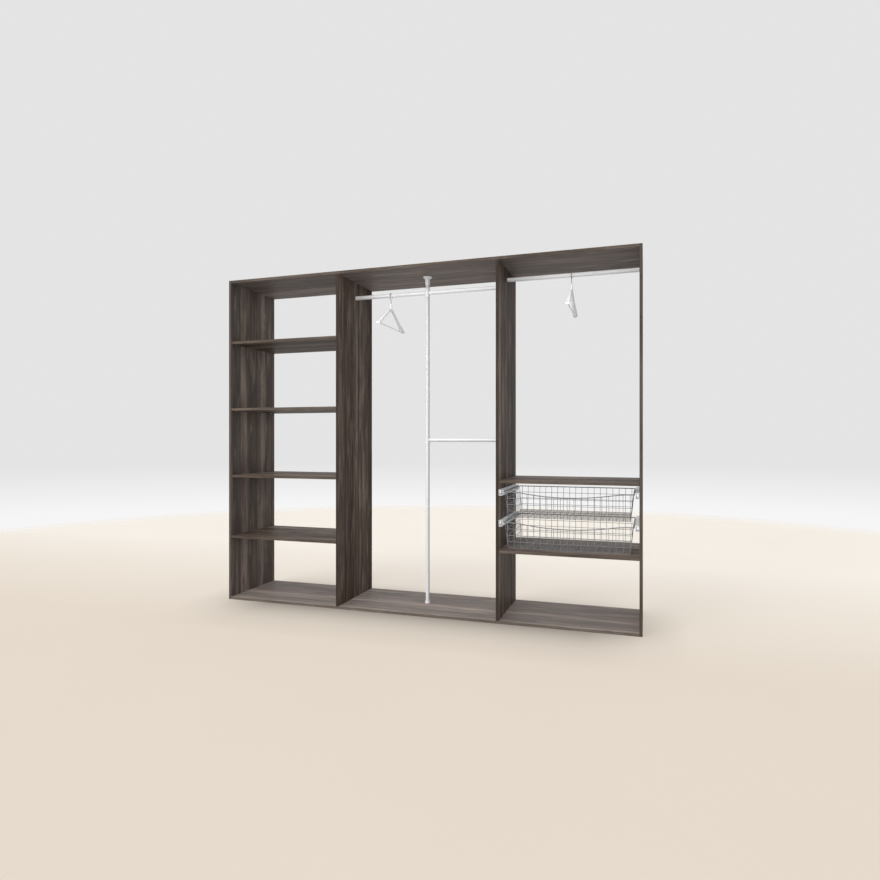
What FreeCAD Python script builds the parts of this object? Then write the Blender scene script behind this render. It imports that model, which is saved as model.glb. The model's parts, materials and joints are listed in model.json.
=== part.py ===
"""Closet system: a three-bay open wardrobe with shelves, hanging rails, a post and two wire baskets.

Frame: X to the right, Y to the back, Z up. The origin lies on the floor under the middle of the box,
and the open front faces -Y. All lengths are in millimetres.
"""
import FreeCAD
import Part

import math
import os
import re

import Sketcher

os.makedirs("parts", exist_ok=True)
doc = FreeCAD.newDocument("closet_system")

# Driving sizes: alias, value, what it is.
SIZES = (
    ("board", 16, "thickness of every board"),
    ("depth", 510, "front to back depth of the uprights, top and bottom"),
    ("side_bay", 768, "clear width of the left bay and of the right bay"),
    ("middle_bay", 1000, "clear width of the middle bay"),
    ("opening_1", 388, "clear height under the lowest shelf"),
    ("opening_2", 384, "clear height over the first shelf"),
    ("opening_3", 423, "clear height over the second shelf"),
    ("opening_4", 424, "clear height over the third shelf"),
    ("opening_5", 385, "clear height over the fourth shelf"),
    ("shelf_setback", 2, "how far a shelf's front edge lies behind the uprights"),
    ("shelf_play", 0.5, "gap at each end of a shelf"),
    ("overrun", 5, "how far a cutter runs out of the solid"),
    ("drill_clearance", 0.2, "radial play of a fastener in its hole"),
    ("joint_screw_dia", 5, "shank of a panel joint screw"),
    ("joint_screw_length", 50, "length of a panel joint screw with its head"),
    ("joint_screw_head_dia", 10, "head of a panel joint screw"),
    ("joint_screw_head", 4, "height of that head, sunk flush"),
    ("joint_screw_socket", 2.5, "depth of the hexagon socket"),
    ("joint_screw_key_dia", 4.6, "across the corners of the hexagon socket"),
    ("joint_screw_inset", 60, "outer screws, from the front and back edges"),
    ("dowel_dia", 8, "dowel diameter"),
    ("dowel_length", 32, "dowel length"),
    ("dowel_depth", 10, "dowel depth in the face of a board"),
    ("dowel_inset", 150, "dowels, from the front and back edges"),
    ("pin_dia", 5, "shelf pin diameter"),
    ("pin_length", 17, "shelf pin length"),
    ("pin_depth", 9, "shelf pin depth in the upright"),
    ("pin_inset", 50, "shelf pins, from the front and back edges"),
    ("pin_seat", 0.1, "gap between a pin and the shelf that it carries"),
    ("tube_dia", 25, "rails and post, outer diameter"),
    ("tube_wall", 1.2, "rails and post, wall"),
    ("tube_end_gap", 0.3, "gap between a tube's end and what it butts against"),
    ("flange_collar_gap", 24, "post flange to the collar of the middle rail"),
    ("right_rail_drop", 60, "top panel's underside to the right rail's axis"),
    ("half_rail_height", 1050, "floor to the half-height rail's axis"),
    ("plug_length", 20, "plug inside a rail's end"),
    ("plug_clearance", 0.2, "radial play of a plug or spigot in the tube"),
    ("fitting_web", 4, "web that a plug, flange or foot is screwed through"),
    ("plug_wall", 3, "wall of the plug's cup"),
    ("fitting_screw_dia", 4, "shank of a fitting screw"),
    ("fitting_screw_reach", 10, "how deep a fitting screw goes into the board"),
    ("fitting_screw_head_dia", 8, "head of a fitting screw"),
    ("fitting_screw_head", 2.5, "height of that head"),
    ("flange_dia", 58, "post flange at the top panel"),
    ("flange_rim", 3, "straight rim of the flange"),
    ("flange_cone", 13, "height of the flared part under the rim"),
    ("flange_sleeve", 36, "height of the sleeve under the flare"),
    ("sleeve_wall", 2.5, "wall of the flange sleeve, the foot and the collars"),
    ("sleeve_clearance", 0.2, "radial play of the post in its fittings"),
    ("foot_lip", 2, "how far the foot stands out past its sleeve"),
    ("foot_base", 5, "height of the foot's wider base"),
    ("foot_height", 15, "height of the foot cup"),
    ("collar_height", 50, "height of a rail collar on the post"),
    ("spigot_length", 22, "collar's spigot inside the rail"),
    ("collar_gap", 0.5, "gap between a collar and the rail's end"),
    ("set_screw_dia", 5, "grub screw of a collar"),
    ("roller_room", 14, "fixed runner, height over its roller's diameter"),
    ("runner_gauge", 1.5, "sheet of the runners"),
    ("runner_back_gap", 16, "runner's back end from the back edges"),
    ("runner_setback", 4, "runner's front end behind the front edges"),
    ("runner_lip", 8, "fixed runner, upper lip from the upright"),
    ("slide_setback", 4, "moving runner's front end behind the fixed one's"),
    ("slide_shorter", 6, "moving runner, shorter than the fixed one"),
    ("slide_ledge", 8, "width of the ledge under the basket rim"),
    ("slide_lip_play", 1, "play under the fixed runner's lip"),
    ("ledge_drop", 14, "ledge's top below the moving runner's top"),
    ("ear_length", 30, "rear ear that carries the rear roller"),
    ("ear_play", 3.5, "rear ear's end above the fixed runner's flange"),
    ("roller_dia", 20, "roller diameter"),
    ("roller_width", 8, "roller width"),
    ("roller_edge", 1, "chamfer of a roller's edges"),
    ("roller_play", 0.3, "gap above, below and beside a roller"),
    ("roller_inset", 16, "roller axis from the runner's end"),
    ("axle_dia", 5, "roller axle"),
    ("axle_running_play", 0.05, "radial running play of a roller on its axle"),
    ("axle_shoulder_dia", 9, "shoulder and rivet head of the axle"),
    ("axle_shoulder", 2.2, "front axle's shoulder between web and roller"),
    ("rear_axle_shoulder", 1.2, "rear axle's shoulder between web and roller"),
    ("axle_head", 1.2, "thickness of the rivet head"),
    ("runner_screw_dia", 3.5, "shank of a runner screw"),
    ("runner_screw_reach", 10, "how deep a runner screw goes into the upright"),
    ("runner_screw_head_dia", 7.5, "head of a runner screw"),
    ("runner_screw_head", 2, "height of that head"),
    ("runner_screw_inset", 70, "outer runner screws, from the runner's ends"),
    ("rim_dia", 7, "basket rim bar"),
    ("rim_side_gap", 2, "gap between the rim and the moving runner's web"),
    ("rim_end_gap", 14, "rim behind the uprights' front and back edges"),
    ("rim_seat", 0.1, "gap between the rim and its ledge"),
    ("wire", 3.2, "mesh wire"),
    ("weld_sink", 0.6, "how deep the mesh is welded into the rim"),
    ("net_gap", 0.3, "gap between neighbouring nets"),
    ("basket_height", 148, "rim's axis to the floor's wires"),
    ("basket_taper", 14, "how far each wall leans in, rim to floor"),
    ("basket_clearance", 8, "lower basket above the shelf"),
    ("basket_stack", 28, "rim of the lower basket to the floor of the upper one"),
    ("basket_headroom", 37, "top of the upper runner to the shelf over it"),
    ("scoop", 27, "dip of the front rim at its middle"),
    ("hanger_length", 421, "coat hanger, end to end"),
    ("hook_stem", 12.5, "straight stem between the hook's bend and the neck"),
    ("hanger_neck", 30, "height of the neck"),
    ("hanger_neck_dia", 11, "neck's diameter at its top"),
    ("hanger_arch", 22, "height of the shoulder piece at its middle"),
    ("hanger_fall", 114, "middle of the shoulder piece down to the trouser bar's axis"),
    ("hanger_end_width", 30, "widest part of a shoulder"),
    ("hanger_bar_dia", 7, "trouser bar"),
    ("hook_wire", 4, "hook's wire"),
    ("hook_room", 13, "inside of the hook, over the rail's diameter"),
    ("hook_bend", 16, "radius of the bend between hook and stem"),
    ("hook_seat", 0.3, "gap between the hook and the top of the rail"),
    ("hook_play", 0.06, "radial running play of the stem in the neck"),
    ("hook_head_dia", 8, "head under the shoulder piece"),
    ("hook_head", 2.5, "height of that head"),
    ("hook_head_gap", 0.3, "gap between that head and the shoulder piece"),
)

# Counts of repeated features.
MESH_ACROSS = 18
MESH_BACK = 12
MESH_UP = 4

# How much of the front rim's half length curves down before it curves level again.
SCOOP_SHOULDER_SHARE = 0.3
# Shoulder piece: share of the half length, of the drop, of the end width and of the arch height.
SHOULDER_SHARES = (
    (0.00, 0.00, 0.46, 1.00),
    (0.10, 0.05, 0.46, 0.96),
    (0.40, 0.37, 0.56, 0.72),
    (0.72, 0.73, 0.82, 0.66),
    (0.93, 0.95, 1.00, 0.62),
    (1.00, 1.00, 0.84, 0.44),
)
# Where the hook's tip ends, as an angle from the back of the rail.
HOOK_TIP_ANGLE = math.radians(-20)
# Corner of a rounded section, as a share of its half width and half height.
ROUND_SHARE = 0.74

# Worked-out sizes and places: alias, formula.
PLACES = (
    ("width", "4 * board + 2 * side_bay + middle_bay"),
    ("height", "6 * board + opening_1 + opening_2 + opening_3 + opening_4 + opening_5"),
    ("half_width", "width / 2"),
    ("half_depth", "depth / 2"),
    ("clear_height", "height - 2 * board"),
    ("ceiling", "height - board"),
    ("bay_edge", "middle_bay / 2"),
    ("divider_out", "bay_edge + board"),
    ("side_in", "half_width - board"),
    ("right_bay_x", "divider_out + side_bay / 2"),
    ("left_bay_x", "-right_bay_x"),
    ("shelf_1", "board + opening_1"),
    ("shelf_2", "shelf_1 + board + opening_2"),
    ("shelf_3", "shelf_2 + board + opening_3"),
    ("shelf_4", "shelf_3 + board + opening_4"),
    ("shelf_length", "side_bay - 2 * shelf_play"),
    ("shelf_depth", "depth - shelf_setback"),
    ("tube_bore", "tube_dia / 2 - tube_wall"),
    ("plug_radius", "tube_bore - plug_clearance"),
    ("flange_height", "flange_rim + flange_cone + flange_sleeve"),
    ("middle_rail_z", "ceiling - flange_height - flange_collar_gap - collar_height / 2"),
    ("right_rail_z", "ceiling - right_rail_drop"),
    ("fitting_bore", "tube_dia / 2 + sleeve_clearance"),
    ("sleeve_radius", "fitting_bore + sleeve_wall"),
    ("half_rail_length", "bay_edge - sleeve_radius - collar_gap - tube_end_gap"),
    ("right_rail_length", "side_bay - 2 * tube_end_gap"),
    ("post_length", "clear_height - 2 * fitting_web - 2 * tube_end_gap"),
    ("runner_height", "roller_dia + roller_room"),
    ("runner_length", "depth - runner_setback - runner_back_gap"),
    ("slide_top", "runner_height - runner_gauge - slide_lip_play"),
    ("ledge_top", "slide_top - ledge_drop"),
    ("rim_above_runner", "ledge_top + rim_seat + rim_dia / 2"),
    ("floor_1", "shelf_1 + board + basket_clearance + wire / 2"),
    ("rim_1", "floor_1 + basket_height"),
    ("floor_2", "rim_1 + basket_stack"),
    ("rim_2", "floor_2 + basket_height"),
    ("runner_1", "rim_1 - rim_above_runner"),
    ("runner_2", "rim_2 - rim_above_runner"),
    ("basket_shelf", "runner_2 + runner_height + basket_headroom"),
    ("runner_front", "runner_setback - half_depth"),
    ("slide_front", "runner_front + slide_setback"),
    ("slide_length", "runner_length - slide_shorter"),
    ("slide_back", "slide_front + slide_length"),
    ("roller_radius", "roller_dia / 2"),
    ("front_roller_y", "runner_front + roller_inset"),
    ("rear_roller_y", "slide_back - roller_inset"),
    ("front_roller_z", "slide_top - runner_gauge - roller_play - roller_radius"),
    ("rear_roller_z", "runner_gauge + roller_play + roller_radius"),
    ("front_roller_s", "runner_gauge + axle_shoulder + roller_play"),
    ("rear_roller_s", "front_roller_s + roller_width"),
    ("runner_flange", "rear_roller_s + roller_width"),
    ("slide_web", "runner_flange + roller_play + rear_axle_shoulder"),
    ("rim_s", "slide_web + runner_gauge + rim_side_gap + rim_dia / 2"),
    ("mesh_off_rim", "rim_dia / 2 + wire / 2 - weld_sink"),
    ("rim_half_width", "side_bay / 2 - rim_s"),
    ("rim_half_depth", "half_depth - rim_end_gap - rim_dia / 2"),
    ("wall_half_width", "rim_half_width - mesh_off_rim"),
    ("wall_half_depth", "rim_half_depth - mesh_off_rim"),
    ("hook_inner_dia", "tube_dia + hook_room"),
    ("hook_radius", "(hook_inner_dia + hook_wire) / 2"),
    ("hook_below_rail", "hook_inner_dia / 2 - tube_dia / 2 - hook_seat"),
    ("bend_drop", "hook_below_rail + sqrt(hook_radius * (hook_radius + 2 * hook_bend))"),
    ("arch_drop", "bend_drop + hook_stem + hanger_neck"),
    ("hanger_end_drop", "arch_drop + hanger_arch / 2 + hanger_fall"),
    ("middle_hanger_x", "-bay_edge / 2"),
)

SHEET_OF = {alias: "Size." for alias, value, note in SIZES}
SHEET_OF.update({alias: "Place." for alias, text in PLACES})


def formula(text, home=""):
    """Put the sheet's name before each alias of a formula, except those of the home sheet."""
    def prefixed(match):
        prefix = SHEET_OF.get(match.group(), "")
        return ("" if prefix == home else prefix) + match.group()
    return re.sub(r"[a-z][a-z_0-9]*", prefixed, text)


size_sheet = doc.addObject("Spreadsheet::Sheet", "Size")
for row, (alias, value, note) in enumerate(SIZES, start=1):
    size_sheet.set(f"A{row}", note)
    size_sheet.set(f"B{row}", str(value))
    size_sheet.setAlias(f"B{row}", alias)
place_sheet = doc.addObject("Spreadsheet::Sheet", "Place")
doc.recompute()
for row, (alias, text) in enumerate(PLACES, start=1):
    place_sheet.setAlias(f"B{row}", alias)
    place_sheet.set(f"B{row}", "=" + formula(text, home="Place."))
doc.recompute()

nodes = {}
X_AXIS = FreeCAD.Vector(1, 0, 0)
Y_AXIS = FreeCAD.Vector(0, 1, 0)
Z_AXIS = FreeCAD.Vector(0, 0, 1)
# Turns that lay a piece's own Z axis along a row axis.
ALONG = {
    "+X": FreeCAD.Rotation(Y_AXIS, 90),
    "-X": FreeCAD.Rotation(Y_AXIS, -90),
    "+Y": FreeCAD.Rotation(X_AXIS, -90),
    "-Y": FreeCAD.Rotation(X_AXIS, 90),
    "+Z": FreeCAD.Rotation(),
    "-Z": FreeCAD.Rotation(X_AXIS, 180),
}


def number(alias):
    """Current value of a size or a worked-out place."""
    sheet = size_sheet if SHEET_OF[alias] == "Size." else place_sheet
    return float(sheet.get(alias))


def add(kind, label):
    """New document object with its own label."""
    thing = doc.addObject(kind, label)
    thing.Label = label
    return thing


def bind(thing, **formulas):
    """Drive properties of an object by formulas of the sheets."""
    for name, text in formulas.items():
        thing.setExpression(name, formula(text))
    return thing


def place(thing, x="0", y="0", z="0", along="+Z"):
    """Set an object's place by formulas, with its own Z axis along a row axis."""
    thing.Placement = FreeCAD.Placement(FreeCAD.Vector(), ALONG[along])
    for letter, text in zip("xyz", (x, y, z)):
        thing.setExpression(f"Placement.Base.{letter}", formula(text))
    return thing


def node(thing):
    """Keep an object as a sub-part under its label."""
    nodes[thing.Label] = thing
    return thing


def box(label, length, width, height, x="0", y="0", z="0"):
    """Box with its lowest corner at a place."""
    return place(bind(add("Part::Box", label), Length=length, Width=width, Height=height), x, y, z)


def cylinder(label, radius, height, x="0", y="0", z="0", along="+Z"):
    """Round bar that starts at a place and runs along a row axis."""
    return place(bind(add("Part::Cylinder", label), Radius=radius, Height=height), x, y, z, along)


def fuse(label, *shapes):
    """One solid of several."""
    joined = add("Part::MultiFuse", label)
    joined.Shapes = list(shapes)
    joined.Refine = True
    return joined


def cut(label, base, tool):
    """First solid less the second."""
    rest = add("Part::Cut", label)
    rest.Base = base
    rest.Tool = tool
    return rest


def mirrored(label, source, x):
    """Copy of a piece on the other side of an upright plane across X."""
    copy = add("Part::Mirroring", label)
    copy.Source = source
    copy.Normal = X_AXIS
    copy.setExpression("Base.x", formula(x))
    return copy


def shaped(label, shape, x="0", y="0", z="0"):
    """Piece whose shape is worked out from the sheets' values."""
    piece = add("Part::Feature", label)
    piece.Shape = shape
    return place(piece, x, y, z)


def outline(body, corners):
    """Closed sketch in a body's XZ plane, each corner held by two formulas."""
    sketch = body.newObject("Sketcher::SketchObject", body.Label + "_outline")
    plane = [f for f in body.Origin.OriginFeatures if f.Role == "XZ_Plane"][0]
    sketch.AttachmentSupport = [(plane, "")]
    sketch.MapMode = "FlatFace"
    count = len(corners)
    turn = 2 * math.pi / count
    start = [FreeCAD.Vector(math.cos(turn * i), math.sin(turn * i), 0) * count for i in range(count)]
    for i in range(count):
        sketch.addGeometry(Part.LineSegment(start[i], start[(i + 1) % count]))
    for i in range(count):
        sketch.addConstraint(Sketcher.Constraint("Coincident", i, 2, (i + 1) % count, 1))
    for i, corner in enumerate(corners):
        for kind, axis, text in (("DistanceX", -2, corner[0]), ("DistanceY", -1, corner[1])):
            if text == "0":
                sketch.addConstraint(Sketcher.Constraint("PointOnObject", i, 1, axis))
                continue
            held = sketch.addConstraint(Sketcher.Constraint(kind, -1, 1, i, 1, count))
            sketch.renameConstraint(held, f"{kind}_{i}")
            sketch.setExpression(f"Constraints.{kind}_{i}", formula(text))
    return sketch


def turned(label, corners):
    """Body turned about its own Z axis from an outline of radius and height."""
    body = add("PartDesign::Body", label)
    sketch = outline(body, corners)
    spun = body.newObject("PartDesign::Revolution", label + "_turn")
    spun.Profile = sketch
    spun.ReferenceAxis = (sketch, ["V_Axis"])
    spun.Angle = 360
    body.Tip = spun
    return body


def folded(label, corners, length):
    """Body of one section in its own XZ plane, drawn out along its own Y axis."""
    body = add("PartDesign::Body", label)
    sketch = outline(body, corners)
    drawn = body.newObject("PartDesign::Pad", label + "_length")
    drawn.Profile = sketch
    drawn.Reversed = True
    bind(drawn, Length=length)
    body.Tip = drawn
    return body


def tube(label, length, x, y, z, along):
    """Rail or post tube that starts at a place and runs along a row axis."""
    outer = cylinder(label + "_outside", "tube_dia / 2", length)
    bore = cylinder(label + "_bore", "tube_bore", length + " + 2 * overrun", z="-overrun")
    return node(place(cut(label, outer, bore), x, y, z, along))


def copies(label, source, spots):
    """Group of separate solids: copies of one piece at the given spots and directions."""
    doc.recompute()
    solids = []
    for spot, along in spots:
        solid = source.Shape.copy()
        solid.Placement = FreeCAD.Placement(spot, ALONG[along]).multiply(solid.Placement)
        solids.append(solid)
    return shaped(label, Part.Compound(solids))


def fastener(label, diameter, length, head_dia, head, reach):
    """Screw and its cutter; each runs along +Z from the face of the board, with its head before it."""
    shank = cylinder(label + "_shank", f"{diameter} / 2", length, z=f"{reach} - ({length})")
    cap = cylinder(label + "_cap", f"{head_dia} / 2", head, z=f"{reach} - ({length})")
    hole = cylinder(label + "_hole", f"{diameter} / 2 + drill_clearance", f"{reach} + drill_clearance + overrun",
                    z="-overrun")
    return fuse(label + "_screw", shank, cap), hole


# Spots of the fasteners. Each is a point on the face that the fastener enters, and its direction.

def rows_of(inset, with_middle):
    """Places from front to back, an inset from each edge and perhaps one in the middle."""
    edge = number("half_depth") - number(inset)
    return (-edge, 0, edge) if with_middle else (-edge, edge)


def joint_spots(inset, with_middle, from_outside):
    """Joints of the sides and dividers with the top and bottom, seen from their outer or inner faces."""
    spots = []
    half_board = number("board") / 2
    side = number("half_width") if from_outside else number("side_in")
    divider = number("bay_edge") + half_board
    low = 0 if from_outside else number("board")
    for y in rows_of(inset, with_middle):
        for z in (half_board, number("height") - half_board):
            spots.append((FreeCAD.Vector(-side, y, z), "+X" if from_outside else "-X"))
            spots.append((FreeCAD.Vector(side, y, z), "-X" if from_outside else "+X"))
        for x in (-divider, divider):
            spots.append((FreeCAD.Vector(x, y, low), "+Z" if from_outside else "-Z"))
            spots.append((FreeCAD.Vector(x, y, number("height") - low), "-Z" if from_outside else "+Z"))
    return spots


SHELVES = (
    ("left_bay_shelf_1", "left_bay_x", "shelf_1"),
    ("left_bay_shelf_2", "left_bay_x", "shelf_2"),
    ("left_bay_shelf_3", "left_bay_x", "shelf_3"),
    ("left_bay_shelf_4", "left_bay_x", "shelf_4"),
    ("right_bay_shelf_lower", "right_bay_x", "shelf_1"),
    ("right_bay_shelf_upper", "right_bay_x", "basket_shelf"),
)


def pin_spots():
    """Two pins at each end of each shelf, just under it."""
    spots = []
    half_bay = number("side_bay") / 2
    for label, bay, under in SHELVES:
        z = number(under) - number("pin_seat") - number("pin_dia") / 2
        for y in rows_of("pin_inset", False):
            spots.append((FreeCAD.Vector(number(bay) - half_bay, y, z), "-X"))
            spots.append((FreeCAD.Vector(number(bay) + half_bay, y, z), "+X"))
    return spots


def fitting_spots():
    """Rail ends on the uprights, and the two ends of the post."""
    edge = number("bay_edge")
    middle, right, half = number("middle_rail_z"), number("right_rail_z"), number("half_rail_height")
    return [
        (FreeCAD.Vector(-edge, 0, middle), "-X"),
        (FreeCAD.Vector(edge, 0, middle), "+X"),
        (FreeCAD.Vector(edge, 0, half), "+X"),
        (FreeCAD.Vector(number("divider_out"), 0, right), "-X"),
        (FreeCAD.Vector(number("side_in"), 0, right), "+X"),
        (FreeCAD.Vector(0, 0, number("board")), "-Z"),
        (FreeCAD.Vector(0, 0, number("ceiling")), "+Z"),
    ]


def runner_spots():
    """Three screws for each fixed runner, at half its height."""
    spots = []
    front = number("runner_front") + number("runner_screw_inset")
    back = number("runner_front") + number("runner_length") - number("runner_screw_inset")
    for bottom in ("runner_1", "runner_2"):
        z = number(bottom) + number("runner_height") / 2
        for y in (front, (front + back) / 2, back):
            spots.append((FreeCAD.Vector(number("divider_out"), y, z), "-X"))
            spots.append((FreeCAD.Vector(number("side_in"), y, z), "+X"))
    return spots


# Fasteners and the holes that they sit in.

joint_shank = cylinder("joint_shank", "joint_screw_dia / 2", "joint_screw_length")
joint_head = cylinder("joint_head", "joint_screw_head_dia / 2", "joint_screw_head")
joint_key = place(add("Part::Prism", "joint_key"), z="-overrun")
bind(joint_key, Circumradius="joint_screw_key_dia / 2", Height="joint_screw_socket + overrun")
joint_screw = cut("joint_screw", fuse("joint_blank", joint_shank, joint_head), joint_key)
joint_bore = cylinder("joint_bore", "joint_screw_dia / 2 + drill_clearance",
                      "joint_screw_length + drill_clearance + overrun", z="-overrun")
joint_sink = cylinder("joint_sink", "joint_screw_head_dia / 2 + drill_clearance",
                      "joint_screw_head + overrun", z="-overrun")
joint_hole = fuse("joint_hole", joint_bore, joint_sink)
dowel = cylinder("dowel", "dowel_dia / 2", "dowel_length", z="dowel_depth - dowel_length")
dowel_hole = cylinder("dowel_hole", "dowel_dia / 2 + drill_clearance", "dowel_length + 2 * drill_clearance",
                      z="dowel_depth - dowel_length - drill_clearance")
pin = cylinder("pin", "pin_dia / 2", "pin_length", z="pin_depth - pin_length")
pin_hole = cylinder("pin_hole", "pin_dia / 2 + drill_clearance", "pin_depth + drill_clearance + overrun",
                    z="-overrun")
fitting_screw, fitting_hole = fastener(
    "fitting", "fitting_screw_dia", "fitting_screw_reach + fitting_web + fitting_screw_head",
    "fitting_screw_head_dia", "fitting_screw_head", "fitting_screw_reach")
runner_screw, runner_hole = fastener(
    "runner", "runner_screw_dia", "runner_screw_reach + runner_gauge + runner_screw_head",
    "runner_screw_head_dia", "runner_screw_head", "runner_screw_reach")

screw_spots = joint_spots("joint_screw_inset", True, True)
dowel_spots = joint_spots("dowel_inset", False, False)
node(copies("panel_screws", joint_screw, screw_spots))
node(copies("panel_dowels", dowel, dowel_spots))
node(copies("shelf_pins", pin, pin_spots()))
node(copies("fitting_screws", fitting_screw, fitting_spots()))
node(copies("runner_screws", runner_screw, runner_spots()))
runner_holes = copies("runner_holes", runner_hole, runner_spots())
board_holes = add("Part::Compound", "board_holes")
board_holes.Links = [
    copies("joint_holes", joint_hole, screw_spots),
    copies("dowel_holes", dowel_hole, dowel_spots),
    copies("pin_holes", pin_hole, pin_spots()),
    copies("fitting_holes", fitting_hole, fitting_spots()),
    runner_holes,
]

# Boards: label, length, height and lowest corner.
BOARDS = (
    ("left_side_panel", "board", "height", "-half_width", "0"),
    ("right_side_panel", "board", "height", "side_in", "0"),
    ("left_divider_panel", "board", "clear_height", "-divider_out", "board"),
    ("right_divider_panel", "board", "clear_height", "bay_edge", "board"),
    ("top_panel", "2 * side_in", "board", "-side_in", "ceiling"),
    ("bottom_panel", "2 * side_in", "board", "-side_in", "0"),
)
for label, length, tall, x, z in BOARDS:
    blank = box(label + "_blank", length, "depth", tall, x, "-half_depth", z)
    node(cut(label, blank, board_holes))
for label, bay, under in SHELVES:
    node(box(label, "shelf_length", "shelf_depth", "board", f"{bay} - shelf_length / 2",
             "shelf_setback - half_depth", under))

# Rails, plugs and the post with its fittings.

tube("middle_rail_left", "half_rail_length", "tube_end_gap - bay_edge", "0", "middle_rail_z", "+X")
tube("middle_rail_right", "half_rail_length", "bay_edge - tube_end_gap", "0", "middle_rail_z", "-X")
tube("half_height_rail", "half_rail_length", "bay_edge - tube_end_gap", "0", "half_rail_height", "-X")
tube("right_bay_rail", "right_rail_length", "divider_out + tube_end_gap", "0", "right_rail_z", "+X")
tube("post_tube", "post_length", "0", "0", "board + fitting_web + tube_end_gap", "+Z")

SCREW_WAY = "fitting_screw_dia / 2 + drill_clearance"
plug = turned("rail_plug", (
    (SCREW_WAY, "0"), ("plug_radius", "0"), ("plug_radius", "plug_length"),
    ("plug_radius - plug_wall", "plug_length"), ("plug_radius - plug_wall", "fitting_web"),
    (SCREW_WAY, "fitting_web")))
REVERSED = {"+X": "-X", "-X": "+X"}
plug_spots = [(spot, REVERSED[along]) for spot, along in fitting_spots() if along in REVERSED]
node(copies("rail_end_plugs", plug, plug_spots))

FLARED = "flange_height - flange_sleeve"
flange = turned("post_top_flange", (
    (SCREW_WAY, "0"), ("flange_dia / 2", "0"), ("flange_dia / 2", "flange_rim"), ("sleeve_radius", FLARED),
    ("sleeve_radius", "flange_height"), ("fitting_bore", "flange_height"),
    ("fitting_bore", "fitting_web"), (SCREW_WAY, "fitting_web")))
node(place(flange, z="ceiling", along="-Z"))
foot = turned("post_foot", (
    (SCREW_WAY, "0"), ("sleeve_radius + foot_lip", "0"), ("sleeve_radius + foot_lip", "foot_base"),
    ("sleeve_radius", "foot_base + foot_lip"), ("sleeve_radius", "foot_height"),
    ("fitting_bore", "foot_height"), ("fitting_bore", "fitting_web"), (SCREW_WAY, "fitting_web")))
node(place(foot, z="board"))


def collar(label, z, sides):
    """Sleeve on the post, with a spigot into the rail on each given side and a hole for its grub screw."""
    sleeve = cylinder(label + "_sleeve", "sleeve_radius", "collar_height", z="-collar_height / 2")
    spigots = [cylinder(f"{label}_spigot{i}", "plug_radius", "sleeve_radius + spigot_length", along=side)
               for i, side in enumerate(sides)]
    bore = cylinder(label + "_bore", "fitting_bore", "collar_height + 2 * overrun",
                    z="-collar_height / 2 - overrun")
    tapped = cylinder(label + "_tapped", "set_screw_dia / 2 + drill_clearance", "sleeve_radius + overrun",
                      z="collar_height / 4", along="+Y")
    return node(place(cut(label, fuse(label + "_blank", sleeve, *spigots),
                          fuse(label + "_ways", bore, tapped)), z=z))


collar("cross_collar", "middle_rail_z", ("-X", "+X"))
collar("tee_collar", "half_rail_height", ("+X",))
set_screw = cylinder("set_screw", "set_screw_dia / 2", "sleeve_wall")
set_screw_lift = number("collar_height") / 4
node(copies("collar_set_screws", set_screw, [
    (FreeCAD.Vector(0, number("fitting_bore"), number(z) + set_screw_lift), "+Y")
    for z in ("middle_rail_z", "half_rail_height")]))

# Roller runners. Their sections run from the upright's face inwards, and up from the runner's bottom.

FIXED_SECTION = (
    ("0", "0"), ("runner_flange", "0"), ("runner_flange", "runner_gauge"), ("runner_gauge", "runner_gauge"),
    ("runner_gauge", "runner_height - runner_gauge"), ("runner_lip", "runner_height - runner_gauge"),
    ("runner_lip", "runner_height"), ("0", "runner_height"))
SLIDE_IN = "slide_web + runner_gauge"
MOVING_SECTION = (
    ("front_roller_s", "slide_top - runner_gauge"), ("slide_web", "slide_top - runner_gauge"),
    ("slide_web", "ledge_top - runner_gauge"), (SLIDE_IN + " + slide_ledge", "ledge_top - runner_gauge"),
    (SLIDE_IN + " + slide_ledge", "ledge_top"), (SLIDE_IN, "ledge_top"), (SLIDE_IN, "slide_top"),
    ("front_roller_s", "slide_top"))


def axle(label, start, side, shoulder, y, z):
    """Riveted roller axle: shoulder, journal and head, from a web along a row axis."""
    sign = "+" if side == "+X" else "-"
    journal = f"{shoulder} + roller_width + 2 * roller_play"
    head_start = f"{start} {sign} ({journal})"
    return [
        cylinder(label + "_shoulder", "axle_shoulder_dia / 2", shoulder, start, y, z, side),
        cylinder(label + "_journal", "axle_dia / 2", f"{journal} + axle_head", start, y, z, side),
        cylinder(label + "_head", "axle_shoulder_dia / 2", "axle_head", head_start, y, z, side),
    ]


def roller(label, x, y, z):
    """Nylon roller on an axle across the runner."""
    wheel = turned(label, (
        ("axle_dia / 2 + axle_running_play", "0"), ("roller_radius - roller_edge", "0"),
        ("roller_radius", "roller_edge"), ("roller_radius", "roller_width - roller_edge"),
        ("roller_radius - roller_edge", "roller_width"), ("axle_dia / 2 + axle_running_play", "roller_width")))
    return node(place(wheel, x, y, z, "+X"))


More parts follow.
